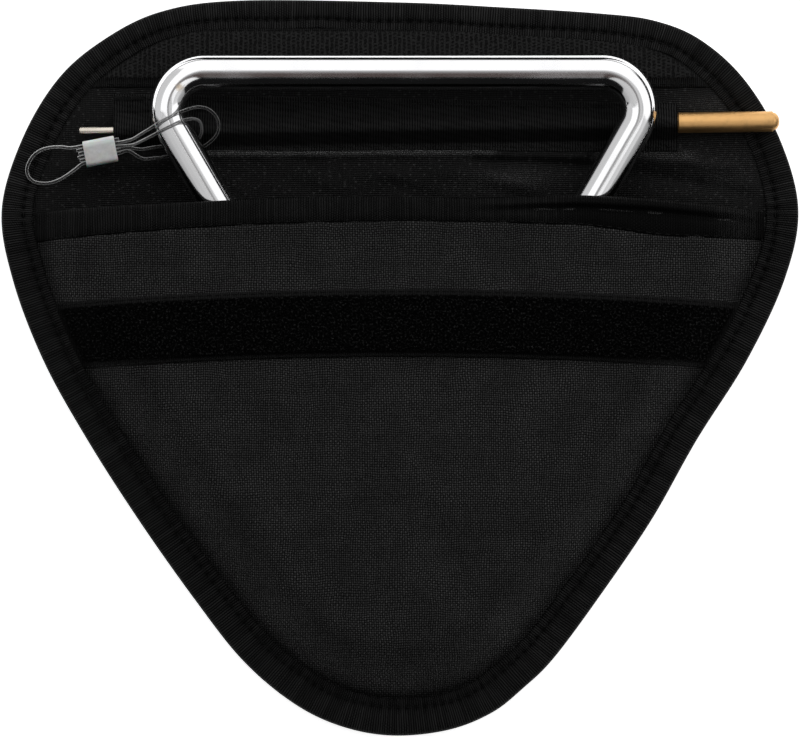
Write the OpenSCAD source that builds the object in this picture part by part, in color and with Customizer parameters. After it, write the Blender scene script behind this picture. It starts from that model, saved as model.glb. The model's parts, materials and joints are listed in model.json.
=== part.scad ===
// A chrome triangle half drawn out of its padded pouch, with its beater in the flap
// and its nylon hanging line. Millimetres, +Z up. The open pouch lies on its back, the flap
// towards +Y. The origin is under the middle of the open pouch, on the surface it lies on.

/* [Triangle] */
// Width of the triangle across the outside of its two bends
bar_w = 152.4; // [120:0.1:180]
// Diameter of the steel bar
bar_d = 10.7; // [8:0.1:12]
// Radius of each bend, at the middle of the bar
bend_r = 11.2; // [10:0.1:14]
// Clear gap between the two ends at the open corner
end_gap = 6; // [4:0.1:12]
// Bevel round each end of the bar
end_bevel = 0.5; // [0.2:0.1:1]
// How far the triangle lies to the right of the pouch's middle
bar_x = 1.1; // [0:0.1:4]
// Height of the middle of the top bar above the fold of the flap
bar_above_fold = 35; // [32:0.1:38]

/* [Pouch] */
// Room from the side of the triangle to the side of the pouch, across the shoulders
side_room = 43.9; // [40:0.1:55]
// Room from the stored triangle's ends to the lower tip of the pouch
tip_room = 27.3; // [25:0.1:45]
// Depth of the stored triangle's top bar below the fold
bar_cover = 5.6; // [4:0.1:8]
// Length of the flap, from the fold to the top edge
flap_h = 57; // [54:0.1:65]
// Thickness of the woven outer cover
cover_t = 0.5; // [0.3:0.1:0.8]
// Thickness of the padding
padding_t = 1.4; // [1:0.1:3]
// Thickness of the padding where the edge seam presses it flat
pressed_t = 0.2; // [0.1:0.1:0.4]
// Thickness of the lining
lining_t = 0.3; // [0.2:0.1:0.5]
// Width over which the front of the pocket rises from its seam
rise_w = 18; // [16:0.5:20]
// Play between the triangle and the pocket, and between soft pieces that only touch
play = 0.3; // [0.3:0.05:0.5]
// Gap between the flap and the pocket at the fold
fold_gap = 0.3; // [0.3:0.05:0.6]

/* [Edge tape] */
// Width of the tape that shows round the edge
tape_w = 9.9; // [8:0.1:12]
// How much narrower the tape shows at the top edge, and wider at the tip
tape_drift = 1.3; // [0:0.1:2]
// Thickness of the tape
tape_t = 0.4; // [0.3:0.05:0.6]

/* [Pocket mouth] */
// Height of the fold above the middle of the mouth
mouth_below_fold = 3.1; // [1.6:0.1:4]
// How far the bands across the pocket drop towards the sides of the pouch
band_bow = 5.6; // [2:0.1:8]
// Width of the tape along the mouth
mouth_tape_w = 6.8; // [6:0.1:10]

/* [Fastener strips] */
// Depth of the soft strip's upper edge below the mouth
loop_below_mouth = 27; // [20:0.1:36]
// Width of the soft strip on the pocket
loop_w = 20.5; // [16:0.1:25]
// Thickness of the soft strip
loop_t = 1.6; // [1:0.1:2.5]
// Width of the hooked strip on the flap
hook_w = 15.8; // [12:0.1:20]
// Height of the hooked strip's lower edge above the beater
hook_above_beater = 15.4; // [12:0.1:18]
// Thickness of the hooked strip
hook_t = 1.5; // [1:0.1:2]

/* [Beater sleeve] */
// Height of the beater above the fold at its thin end
sleeve_above_fold = 17.7; // [16:0.1:20]
// How much longer the sleeve is than the triangle is wide
sleeve_over_bar = 17.3; // [10:0.1:22]
// Width of the sleeve at its left end, seams included
sleeve_w = 16.8; // [16:0.1:18]
// How much narrower the sleeve is at its right end
sleeve_taper = 2.4; // [0:0.1:3]
// Distance of the sleeve's lower edge below the beater at its left end
sleeve_below = 5.6; // [5:0.1:7]
// How much lower that edge is at the right end
sleeve_slant = 2.9; // [0:0.1:4]
// Thickness of the sleeve's webbing
sleeve_t = 0.6; // [0.4:0.1:1]
// Width of the channel under the sleeve, between its seams
channel_w = 9; // [8:0.1:9.5]

/* [Beater] */
// Diameter of the steel shaft
shaft_d = 2.6; // [2:0.1:3.2]
// Diameter of the brass head
head_d = 6.2; // [5.5:0.1:7]
// Length of the brass head
head_l = 30.7; // [20:0.1:40]
// Length of the head's domed end
dome_l = 2; // [1:0.1:3]
// Depth of the shaft's seat in the head
seat_l = 14; // [8:0.1:18]
// Length of the shaft that stands out of the sleeve's left end
tail_l = 10.2; // [6:0.1:14]
// Lean of the beater across the flap, in degrees
beater_lean = 0.8; // [0:0.1:1.2]

/* [Hanging line] */
// Diameter of the nylon line
line_d = 1; // [0.8:0.05:1.05]
// Length of the clip that holds the line
clip_l = 9.6; // [8:0.1:12]
// Width of the clip
clip_w = 7.9; // [7.7:0.1:9]
// Thickness of the clip
clip_t = 2.8; // [2.4:0.1:3.4]
// Thickness of the clip's wall
clip_wall = 0.7; // [0.5:0.05:0.75]

/* [Hidden] */

// Triangle in its own plane: three sides of one length between the corners of its middle line
bar_r = bar_d / 2;
corner_half = bar_w / 2 - bar_r + bend_r * (tan(60) - 1);
side_l = 2 * corner_half;
tangent = bend_r * tan(60);
end_back = end_gap + bar_d * sin(60);
tri_h = side_l * sin(60) - end_back * sin(60) + bar_r * (1 + cos(60));

// Plan of the pouch, worked out round the stored triangle
pocket_h = bar_cover + tri_h + tip_room;
half_w = bar_w / 2 + side_room;
half_h = (pocket_h + flap_h) / 2;
fold_y = half_h - flap_h;
bar_y = fold_y + bar_above_fold;
mouth_y = fold_y - mouth_below_fold;
loop_y = mouth_y - loop_below_mouth;
hook_y = fold_y + sleeve_above_fold + hook_above_beater;

// Heights of the layers, from the surface up
cover_z = tape_t;
padding_z = cover_z + cover_t;
lining_z = padding_z + padding_t;
back_top = lining_z + lining_t;
rim_top = back_top + lining_t + pressed_t + cover_t;
beater_z = back_top + tape_t + play + head_d / 2;
tunnel_r = shaft_d / 2 + play;
crest_z = beater_z + tunnel_r + sleeve_t;
sleeve_l = bar_w + sleeve_over_bar;
head_x = sleeve_l + play;
beater_l = tail_l + head_x + head_l;
bar_z = crest_z + play + bar_r;
roof_z = bar_z + bar_r + play + tape_t + lining_t + padding_t + cover_t;

// Outline of the open pouch, from the middle of its top edge round by the left side, as shares
// of half its width and half its height
outline_shares = [[0, 0.995], [-0.4, 1], [-0.6, 0.97], [-0.745, 0.893], [-0.86, 0.785],
    [-0.95, 0.62], [-1, 0.43], [-0.972, 0.24], [-0.895, 0.02], [-0.785, -0.195],
    [-0.655, -0.415], [-0.515, -0.63], [-0.395, -0.795], [-0.27, -0.91], [-0.15, -0.974],
    [-0.02, -1], [0.12, -0.985], [0.23, -0.938], [0.31, -0.87], [0.385, -0.79], [0.495, -0.63],
    [0.63, -0.415], [0.745, -0.195], [0.87, 0.02], [0.965, 0.24], [1, 0.43], [0.955, 0.62],
    [0.865, 0.785], [0.755, 0.893], [0.64, 0.945], [0.5, 0.965], [0.25, 0.982]];
outline_steps = 3;
// Share of the rise that each ring of the pocket's front has, counted in from its seam
ring_shares = [0.15, 0.32, 0.52, 0.75, 1];
station_step = 2;
over = 1;
tall = roof_z + loop_t + over;
band_steps = 16;
// How far each leg reaches into its bend, and how much smaller its radius is, so that the two join
weld = 0.3;
weld_step = 0.05;
round_fn = 64;

// Point at share t of the smooth closed curve's piece that starts at point i of list p
function curve_point(p, i, t) =
    let (n = len(p), a = p[(i + n - 1) % n], b = p[i], c = p[(i + 1) % n], d = p[(i + 2) % n])
    (2 * b + (c - a) * t + (2 * a - 5 * b + 4 * c - d) * t * t
     + (3 * b - 3 * c + d - a) * t * t * t) / 2;
function closed_curve(p, steps) =
    [for (i = [0 : len(p) - 1], k = [0 : steps - 1]) curve_point(p, i, k / steps)];
outline = [for (s = closed_curve(outline_shares, outline_steps)) [s.x * half_w, s.y * half_h]];

function unit(v) = v / norm(v);
// Direction into the pouch at point i of the outline, which runs against the clock
function inward(i) =
    let (n = len(outline), t = unit(outline[(i + 1) % n] - outline[(i + n - 1) % n]))
    [-t.y, t.x];
function tape_w_at(y) = tape_w - tape_drift * (y / half_h) * abs(y / half_h);
function inset_line(width, taped) =
    [for (i = [0 : len(outline) - 1])
        outline[i] + inward(i) * (width + (taped ? tape_w_at(outline[i].y) : 0))];
function band_y(x, middle_y) = middle_y - band_bow * (x / half_w) * (x / half_w);

// Plan of the pouch, drawn in by a width and, where taped is true, by the tape as well
module plan(width, taped = false) {
    polygon(inset_line(width, taped));
}

// Everything on the pocket's side or on the flap's side of the fold
module pocket_side() {
    translate([-half_w - over, -half_h - over, -over])
        cube([2 * (half_w + over), fold_y - fold_gap / 2 + half_h + over, tall]);
}
module flap_side() {
    translate([-half_w - over, fold_y + fold_gap / 2, -over])
        cube([2 * (half_w + over), flap_h + over, tall]);
}

// One flat layer of the pouch's back, between two heights
module sheet(low, high) {
    translate([0, 0, low]) linear_extrude(high - low) plan(tape_t);
}

// The tape folded round the edge: a leg below, a leg above and the fold between them
module edge_tape(top) {
    linear_extrude(tape_t) difference() { plan(0); plan(0, true); }
    translate([0, 0, top]) linear_extrude(tape_t) difference() { plan(0); plan(0, true); }
    linear_extrude(top + tape_t) difference() { plan(0); plan(tape_t); }
}

// Points of the outline that the pocket's front hangs from, left side first, and its two ends
below = [for (i = [0 : station_step : len(outline) - 1]) if (outline[i].y < fold_y - over) i];
function crossing(a, b) = a + (b - a) * (fold_y - a.y) / (b.y - a.y);
left_end = crossing(outline[below[0] - station_step], outline[below[0]]);
right_end = crossing(outline[below[len(below) - 1]],
                     outline[(below[len(below) - 1] + station_step) % len(outline)]);
middle = [0, fold_y];

// One station of the front: the edge point and the way in that its rings follow
function station(k) =
    k == 0 ? [left_end, [1, 0], [1, 0]]
    : k == len(below) + 1 ? [right_end, [-1, 0], [-1, 0]]
    : let (i = below[k - 1]) [outline[i], inward(i), unit(middle - outline[i])];
stations = len(below) + 2;

// Distance in from the edge of each ring: outside the edge, the seam, and then up the rise
function ring_in(j, y) = j == 0 ? -over
    : tape_w_at(y) + play + (j == 1 ? 0 : rise_w * ring_shares[j - 2]);
rings = len(ring_shares) + 2;
function ring_point(j, k) =
    let (s = station(k))
    s[0] + s[2] * ring_in(j, s[0].y) / (s[1] * s[2]);
function ring_rise(j) = j < 2 ? 0 : 1 - pow(1 - ring_shares[j - 2], 2);

// Heights of the front's faces on ring j: its outer face, then under the cover, the padding
// and the lining, and one tape outside or inside them
function face_z(face, j) =
    let (rise = ring_rise(j), outer = rim_top + (roof_z - rim_top) * rise,
         padding = pressed_t + (padding_t - pressed_t) * min(1, 2 * rise))
    face == "strip" ? outer + loop_t
    : face == "tape" ? outer + tape_t
    : face == "outer" ? outer
    : face == "cover" ? outer - cover_t
    : face == "padding" ? outer - cover_t - padding
    : face == "lining" ? outer - cover_t - padding - lining_t
    : outer - cover_t - padding - lining_t - tape_t;

// Domed slab between two of those faces, over the whole pocket up to the fold
module domed(low, high) {
    function points(face) = concat(
        [[middle.x, middle.y, face_z(face, rings - 1)]],
        [for (j = [rings - 1 : -1 : 0], k = [0 : stations - 1])
            let (p = ring_point(j, k)) [p.x, p.y, face_z(face, j)]]);
    count = 1 + rings * stations;
    function at(j, k) = 1 + j * stations + k;
    function fan(flip, first) = [for (k = [0 : stations - 2])
        flip ? [first, first + at(0, k), first + at(0, k + 1)]
             : [first, first + at(0, k + 1), first + at(0, k)]];
    function skin(flip, first) = [for (j = [0 : rings - 2], k = [0 : stations - 2], half = [0, 1])
        let (a = first + at(j, k), b = first + at(j, k + 1),
             c = first + at(j + 1, k), d = first + at(j + 1, k + 1),
             t = half == 0 ? [a, c, d] : [a, d, b])
        flip ? t : [t[2], t[1], t[0]]];
    side = concat([0], [for (j = [0 : rings - 1]) at(j, 0)],
                  [for (k = [1 : stations - 1]) at(rings - 1, k)],
                  [for (j = [rings - 2 : -1 : 0]) at(j, stations - 1)]);
    wall = [for (i = [0 : len(side) - 1], half = [0, 1])
        let (a = side[i], b = side[(i + 1) % len(side)])
        half == 0 ? [a, b, b + count] : [a, b + count, a + count]];
    polyhedron(concat(points(high), points(low)),
               concat(fan(false, 0), skin(false, 0), fan(true, count), skin(true, count), wall));
}

// Plan of the band between two lines across the pocket, given by their heights at the middle
module band(low_y, high_y) {
    xs = [for (i = [0 : band_steps]) half_w * (2 * i / band_steps - 1)];
    polygon(concat([for (x = xs) [x, band_y(x, low_y)]],
                   [for (i = [band_steps : -1 : 0]) [xs[i], band_y(xs[i], high_y)]]));
}

// One layer of the pocket's front, cut to the pouch's edge and to the mouth
module front_layer(low, high) {
    intersection() {
        domed(low, high);
        linear_extrude(tall) intersection() {
            plan(tape_t);
            band(-half_h - band_bow, mouth_y);
        }
    }
}

// Back of the pocket
module back_cover() {
    color([0.06, 0.06, 0.065]) intersection() { sheet(cover_z, padding_z); pocket_side(); }
}
module back_padding() {
    color([0.25, 0.25, 0.27]) intersection() { sheet(padding_z, lining_z); pocket_side(); }
}
module back_lining() {
    color([0.05, 0.05, 0.055]) intersection() { sheet(lining_z, back_top); pocket_side(); }
}

// Front of the pocket
module front_lining() {
    color([0.05, 0.05, 0.055]) front_layer("lining", "padding");
}
module front_padding() {
    color([0.25, 0.25, 0.27]) front_layer("padding", "cover");
}
module front_cover() {
    color([0.1, 0.1, 0.105]) front_layer("cover", "outer");
}

// Tape round the pocket's edge, folded over both its back and its front
module pocket_edge_tape() {
    color([0.07, 0.07, 0.072]) intersection() { edge_tape(rim_top); pocket_side(); }
}

// Tape folded over the mouth's edge, from seam to seam
module mouth_tape() {
    module within(low_y, high_y) {
        linear_extrude(tall) intersection() { plan(1.5 * over, true); band(low_y, high_y); }
    }
    color([0.07, 0.07, 0.072]) {
        intersection() { domed("outer", "tape"); within(mouth_y - mouth_tape_w, mouth_y); }
        intersection() { domed("inside", "tape"); within(mouth_y, mouth_y + tape_t); }
        intersection() { domed("inside", "lining"); within(mouth_y - mouth_tape_w, mouth_y); }
    }
}

// Soft half of the fastener, across the front of the pocket
module loop_strip() {
    color([0.02, 0.02, 0.022]) intersection() {
        domed("outer", "strip");
        linear_extrude(tall) intersection() {
            plan(play, true);
            band(loop_y - loop_w, loop_y);
        }
    }
}

// Flap, on the same back as the pocket
module flap_cover() {
    color([0.06, 0.06, 0.065]) intersection() { sheet(cover_z, padding_z); flap_side(); }
}
module flap_padding() {
    color([0.25, 0.25, 0.27]) intersection() { sheet(padding_z, lining_z); flap_side(); }
}
module flap_lining() {
    color([0.05, 0.05, 0.055]) intersection() { sheet(lining_z, back_top); flap_side(); }
}
module flap_edge_tape() {
    color([0.07, 0.07, 0.072]) intersection() { edge_tape(back_top); flap_side(); }
}

// Hooked half of the fastener, near the top of the flap
module hook_strip() {
    color([0.09, 0.09, 0.092]) translate([0, 0, back_top]) linear_extrude(hook_t) intersection() {
        plan(play, true);
        translate([-half_w, hook_y]) square([2 * half_w, hook_w]);
    }
}

// Place of the beater: along +X from the sleeve's left end, on the shaft's middle line
sleeve_x = -sleeve_l / 2 - 1.5 * over;
beater_y = fold_y + sleeve_above_fold;
module on_beater() {
    translate([sleeve_x, beater_y, beater_z]) rotate([0, 0, beater_lean]) children();
}

// Sewn strap that the beater slides in: two flat seams and the raised channel between them.
// The channel's face is a round crown with a straight slope down to each seam.
module beater_sleeve() {
    function slope(r, half, base) =
        let (foot = [half, base - beater_z], lean = atan2(foot.y, foot.x) + acos(r / norm(foot)))
        concat([foot], [for (i = [0 : 8]) let (a = lean + (180 - 2 * lean) * i / 8)
                        r * [cos(a), sin(a)]], [[-foot.x, foot.y]]);
    half = channel_w / 2;
    outer = slope(tunnel_r + sleeve_t, half + sleeve_t, back_top + sleeve_t);
    inner = slope(tunnel_r, half, back_top);
    last = len(inner) - 1;
    low = back_top - beater_z;
    foot = 2 * sleeve_t;
    low_y = [-sleeve_below, -sleeve_below - sleeve_slant];
    color([0.08, 0.08, 0.082]) on_beater() {
        rotate([90, 0, 90]) linear_extrude(sleeve_l)
            polygon(concat([[half + foot, low], [half + foot, low + sleeve_t]], outer,
                           [[-half - foot, low + sleeve_t], [-half - foot, low]],
                           [for (i = [last : -1 : 0]) inner[i]]));
        translate([0, 0, low]) linear_extrude(sleeve_t) difference() {
            polygon([[0, low_y[0]], [sleeve_l, low_y[1]],
                     [sleeve_l, low_y[1] + sleeve_w - sleeve_taper], [0, low_y[0] + sleeve_w]]);
            translate([-over, -half - sleeve_t])
                square([sleeve_l + 2 * over, channel_w + 2 * sleeve_t]);
        }
    }
}

// Beater: a thin steel shaft seated in a brass head, which stops against the sleeve's end
module beater_shaft() {
    color([0.75, 0.74, 0.7]) on_beater() rotate([0, 90, 0])
        translate([0, 0, -tail_l]) cylinder(d = shaft_d, h = beater_l - head_l + seat_l, $fn = round_fn);
}
module beater_head() {
    head_r = head_d / 2;
    bevel = head_r / 8;
    color([0.75, 0.57, 0.33]) on_beater()
        translate([head_x, 0, 0]) rotate([0, 90, 0]) difference() {
            rotate_extrude($fn = round_fn)
                polygon(concat([[0, 0], [head_r - bevel, 0], [head_r, bevel],
                                [head_r, head_l - dome_l], [head_r - bevel, head_l - dome_l]],
                               [for (a = [15 : 15 : 75]) [(head_r - bevel) * cos(a),
                                                          head_l - dome_l + dome_l * sin(a)]],
                               [[0, head_l]]));
            translate([0, 0, -over]) cylinder(d = shaft_d, h = seat_l + over, $fn = round_fn);
        }
}

// Triangle: one round bar with two bends, open at its lower corner
module triangle_bar() {
    leg_l = side_l - tangent - end_back;
    leg_d = bar_d - 2 * weld_step;
    module half_bar() {
        translate([-corner_half + tangent, -bend_r, 0]) rotate([0, 0, 90]) {
            rotate_extrude(angle = 120, $fn = round_fn) translate([bend_r, 0]) circle(d = bar_d, $fn = round_fn);
            translate([bend_r, 0, 0]) rotate([90, 0, 0])
                cylinder(d = bar_d, h = corner_half - tangent + over, $fn = round_fn);
            rotate([0, 0, 120]) translate([bend_r, -weld, 0]) rotate([-90, 0, 0]) {
                cylinder(d = leg_d, h = leg_l - end_bevel + weld, $fn = round_fn);
                translate([0, 0, leg_l - end_bevel + weld])
                    cylinder(d1 = leg_d, d2 = leg_d - 2 * end_bevel, h = end_bevel, $fn = round_fn);
            }
        }
    }
    color([0.85, 0.86, 0.88]) translate([bar_x, bar_y, bar_z]) {
        half_bar();
        mirror([1, 0, 0]) half_bar();
    }
}

// Clip that holds the line, and the six lanes in it that the line takes, from its upper edge down.
// The clip and the routes are placed from the middle of the triangle's left bend.
bend_at = [bar_x + tangent - corner_half, bar_y - bend_r, bar_z];
clip_at = [-31.6, -12.5, -3.8];
clip_turn = 11;
lane_gap = 0.05;
line_r = line_d / 2;
module line_clip() {
    module rounded(w, t) {
        square([w - t, t], center = true);
        for (side = [-1, 1]) translate([side * (w - t) / 2, 0]) circle(d = t, $fn = round_fn);
    }
    color([0.8, 0.8, 0.8, 0.8]) translate(bend_at) translate(clip_at) rotate([0, 0, clip_turn])
        translate([-clip_l / 2, 0, 0]) rotate([90, 0, 90]) linear_extrude(clip_l) difference() {
            rounded(clip_w, clip_t);
            rounded(clip_w - 2 * clip_wall, clip_t - 2 * clip_wall);
        }
}

// Point on a lane in or beside the clip, at a share of half the clip's length from its middle
function in_clip(share, lane) =
    let (along = share * clip_l / 2, across = (2.5 - lane) * (line_d + lane_gap))
    clip_at + [along * cos(clip_turn) - across * sin(clip_turn),
               along * sin(clip_turn) + across * cos(clip_turn), 0];

// Routes of the line, chosen by hand
hand_route = concat([in_clip(1.3, 0), in_clip(0.83, 0), in_clip(0, 0), in_clip(-0.83, 0), in_clip(-1.25, 0)],
    [[-40.7, -11.4, -4.7], [-43.7, -11.1, -5.8], [-46.7, -11.2, -7.3], [-49.3, -11.8, -8.7],
     [-51.6, -13.2, -9.8], [-53.2, -15.3, -10.4], [-54, -17.6, -10.5], [-53.6, -19.7, -10.5],
     [-52.1, -21.3, -10.5], [-49.7, -21.9, -10.4], [-46.9, -21.8, -9.9], [-44.2, -20.9, -8.7],
     [-41.8, -19.6, -7.1], [-39.6, -18.1, -5.4]],
    [in_clip(-1.25, 5), in_clip(-0.83, 5), in_clip(0, 5), in_clip(0.83, 5)]);
outer_route = concat([in_clip(-1.46, 1), in_clip(-0.83, 1), in_clip(0, 1), in_clip(0.83, 1), in_clip(1.15, 1)],
    [[-22.2, -9, -1.1], [-19, -7.3, 1.8], [-16, -5.6, 4.5], [-13.4, -4, 6.1],
     [-10.5, -2.5, 6.6], [-7.5, -1.1, 6.3], [-4.7, 0, 5.3], [-2, 0.6, 4.1],
     [0.6, 0.2, 2.8], [2.7, -1.3, 1.2], [3.9, -3.4, -0.5], [4, -5.8, -2.2],
     [3, -8, -3.8], [1, -9.9, -5.3], [-1.7, -11.5, -6.4], [-5, -12.5, -6.5],
     [-8.4, -13.2, -6.4], [-11.8, -14, -5.8], [-15.4, -14.5, -5.2], [-19, -14.6, -4.6]],
    [in_clip(1.77, 4), in_clip(1.15, 4), in_clip(0.83, 4), in_clip(0, 4), in_clip(-0.83, 4), in_clip(-1.38, 4)]);
inner_route = concat([in_clip(-1.38, 2), in_clip(-0.83, 2), in_clip(0, 2), in_clip(0.83, 2), in_clip(1.15, 2)],
    [[-22, -10.6, -1.3], [-18.8, -9.4, 1.6], [-15.8, -8, 4.3], [-13.1, -6.6, 6.1],
     [-10.2, -5.2, 6.6], [-7.3, -3.8, 6.1], [-4.7, -3, 4.7], [-2.7, -3, 2.6],
     [-1.5, -3.8, 0.5], [-1.1, -5.2, -1.6], [-1.2, -6.9, -3.5], [-2.1, -8.6, -5.2],
     [-4, -9.8, -6.4], [-6.7, -10.3, -6.5], [-9.8, -10.6, -6.2], [-13, -10.9, -5.7],
     [-16.2, -11.3, -5.2], [-19.4, -11.8, -4.7]],
    [in_clip(1.77, 3), in_clip(1.15, 3), in_clip(0.83, 3), in_clip(0, 3), in_clip(-0.83, 3), in_clip(-1.46, 3)]);

// Round tube along a route: a ring of points square to the way at each point of the route,
// turned as little as can be from one ring to the next
module tube(route, r, sides = 8) {
    n = len(route);
    ways = [for (i = [0 : n - 1]) unit(route[min(i + 1, n - 1)] - route[max(i - 1, 0)])];
    function square_to(v, way) = unit(v - (v * way) * way);
    function turned(i, v) = i == n ? [] : let (w = square_to(v, ways[i])) concat([w], turned(i + 1, w));
    across = turned(0, [0, 0, 1]);
    points = [for (i = [0 : n - 1], k = [0 : sides - 1])
        let (a = 360 * k / sides) route[i] + r * (cos(a) * across[i] + sin(a) * cross(ways[i], across[i]))];
    skin = [for (i = [0 : n - 2], k = [0 : sides - 1], half = [0, 1])
        let (a = i * sides + k, b = i * sides + (k + 1) % sides)
        half == 0 ? [a, a + sides, b + sides] : [a, b + sides, b]];
    first = [for (k = [0 : sides - 1]) k];
    last = [for (k = [sides - 1 : -1 : 0]) (n - 1) * sides + k];
    polyhedron(points, concat(skin, [first, last]));
}
module hand_loop() {
    color([0.85, 0.87, 0.88, 0.6]) translate(bend_at) tube(hand_route, line_r);
}
module bar_loop_outer() {
    color([0.85, 0.87, 0.88, 0.6]) translate(bend_at) tube(outer_route, line_r);
}
module bar_loop_inner() {
    color([0.85, 0.87, 0.88, 0.6]) translate(bend_at) tube(inner_route, line_r);
}

back_cover();
back_padding();
back_lining();
front_lining();
front_padding();
front_cover();
pocket_edge_tape();
mouth_tape();
loop_strip();
flap_cover();
flap_padding();
flap_lining();
flap_edge_tape();
hook_strip();
beater_sleeve();
beater_shaft();
beater_head();
triangle_bar();
line_clip();
hand_loop();
bar_loop_outer();
bar_loop_inner();
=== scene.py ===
"""Looks of a chrome triangle, its beater and its padded pouch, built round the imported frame.

Every length is in metres, in the frame of the CAD part. UV maps are in units of 100 mm of cloth, so
a pattern has the same size on every piece.
"""

import json
import math

import bmesh
import bpy
import numpy as np
from bpy.props import FloatProperty, FloatVectorProperty, IntProperty, PointerProperty
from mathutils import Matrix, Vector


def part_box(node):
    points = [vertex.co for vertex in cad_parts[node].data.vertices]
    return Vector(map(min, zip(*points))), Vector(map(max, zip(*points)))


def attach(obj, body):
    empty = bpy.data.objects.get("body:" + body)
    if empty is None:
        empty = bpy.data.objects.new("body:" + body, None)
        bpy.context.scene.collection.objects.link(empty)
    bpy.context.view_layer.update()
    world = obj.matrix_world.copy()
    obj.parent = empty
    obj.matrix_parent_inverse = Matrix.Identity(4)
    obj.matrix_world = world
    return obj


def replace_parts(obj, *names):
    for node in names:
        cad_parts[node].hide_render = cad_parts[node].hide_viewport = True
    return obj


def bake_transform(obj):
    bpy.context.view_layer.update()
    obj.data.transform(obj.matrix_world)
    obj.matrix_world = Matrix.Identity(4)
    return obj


bl_info = {
    "name": "Triangle Instrument Set",
    "version": (1, 0, 0),
    "blender": (4, 5, 0),
    "location": "3D View > Sidebar > Triangle Set",
    "description": "Builds the chromed triangle, the beater, the nylon line and the sewn pouch",
    "category": "Object",
}

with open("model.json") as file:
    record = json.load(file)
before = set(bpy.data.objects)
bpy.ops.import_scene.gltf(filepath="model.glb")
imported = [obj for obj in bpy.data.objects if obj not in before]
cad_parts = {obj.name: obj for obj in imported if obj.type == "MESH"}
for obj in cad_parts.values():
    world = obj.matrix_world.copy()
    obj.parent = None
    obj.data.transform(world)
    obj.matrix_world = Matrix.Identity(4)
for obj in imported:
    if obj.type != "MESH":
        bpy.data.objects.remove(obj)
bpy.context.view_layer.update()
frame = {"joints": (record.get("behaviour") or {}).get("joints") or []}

MM = 0.001
ROOT3 = math.sqrt(3)
UV_UNIT = 0.1  # length of cloth that one unit of a UV map stands for
CAMERA_AT = (0.0, -0.00015, 2.41)
STAGE_REACH = 3.0  # half the floor's side, and how far out the black cards go
BOX_AWAY = 1.6  # distance of the soft boxes from the part
SEAM_INSET = 2.8 * MM  # from the edge tape's inner edge to its seam

# Outline of the open pouch as shares of half its width and half its height, from the middle of the
# top edge round by the left side
OUTLINE_SHARES = np.array([
    [0, 0.995], [-0.4, 1], [-0.6, 0.97], [-0.745, 0.893], [-0.86, 0.785], [-0.95, 0.62], [-1, 0.43],
    [-0.972, 0.24], [-0.895, 0.02], [-0.785, -0.195], [-0.655, -0.415], [-0.515, -0.63],
    [-0.395, -0.795], [-0.27, -0.91], [-0.15, -0.974], [-0.02, -1], [0.12, -0.985], [0.23, -0.938],
    [0.31, -0.87], [0.385, -0.79], [0.495, -0.63], [0.63, -0.415], [0.745, -0.195], [0.87, 0.02],
    [0.965, 0.24], [1, 0.43], [0.955, 0.62], [0.865, 0.785], [0.755, 0.893], [0.64, 0.945],
    [0.5, 0.965], [0.25, 0.982]])

# Heights and places that the frame gives
BACK_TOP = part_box("back_lining")[1].z
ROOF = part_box("front_cover")[1].z
TAPE_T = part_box("back_cover")[0].z
RIM_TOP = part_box("pocket_edge_tape")[1].z - TAPE_T
BAR_LOW, BAR_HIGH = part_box("triangle_bar")
BAR_R = (BAR_HIGH.z - BAR_LOW.z) / 2
BAR_X = (BAR_LOW.x + BAR_HIGH.x) / 2
BAR_Y = BAR_HIGH.y - BAR_R
BAR_Z = (BAR_LOW.z + BAR_HIGH.z) / 2
FOLD_Y = next(joint for joint in frame["joints"] if joint["name"] == "flap_fold")["pos_m"][1]


def size_setting(name, description, default):
    """Setting that is a length."""
    return FloatProperty(name=name, description=description, default=default, unit="LENGTH",
                         precision=5)


def colour_setting(name, description, default):
    """Setting that is a colour."""
    return FloatVectorProperty(name=name, description=description, default=default,
                               subtype="COLOR", size=3, min=0, max=1)


class PouchSizes(bpy.types.PropertyGroup):
    """Sizes of the padded pouch."""

    half_w: size_setting("Half width", "Half the width of the open pouch", 0.1201)
    half_h: size_setting("Half height", "Half the height of the open pouch", 0.11081)
    rise_w: size_setting("Rise", "Width over which the front rises from its seam", 0.018)
    rise_side: size_setting("Side rise", "The same width at the pouch's sides", 0.019)
    bow: size_setting("Bow", "Drop of the bands across the pocket at its sides", 0.0056)
    mouth_y: size_setting("Mouth", "Place of the middle of the pocket's mouth", 0.05071)
    tape_w: size_setting("Tape width", "Width of the edge tape at the sides", 0.0099)
    tape_drift: size_setting("Tape drift", "How much narrower it shows at the top", 0.0013)
    mouth_tape_w: size_setting("Mouth tape", "Width of the tape along the mouth", 0.0068)


class StripSizes(bpy.types.PropertyGroup):
    """Sizes of the fastener strips and of the beater's sleeve."""

    loop_y: size_setting("Pile strip", "Place of the pile strip's upper edge", 0.02371)
    loop_w: size_setting("Pile width", "Width of the pile strip", 0.0205)
    loop_t: size_setting("Pile height", "Height of the pile strip", 0.0016)
    hook_y: size_setting("Hook strip", "Place of the hook strip's lower edge", 0.08691)
    hook_w: size_setting("Hook width", "Width of the hook strip", 0.0158)
    hook_t: size_setting("Hook height", "Height of the hook strip", 0.0015)
    sleeve_l: size_setting("Sleeve length", "Length of the beater's sleeve", 0.1697)
    sleeve_w: size_setting("Sleeve width", "Width of the sleeve at its left end", 0.0168)
    sleeve_t: size_setting("Webbing", "Thickness of the sleeve's webbing", 0.0006)


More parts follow.
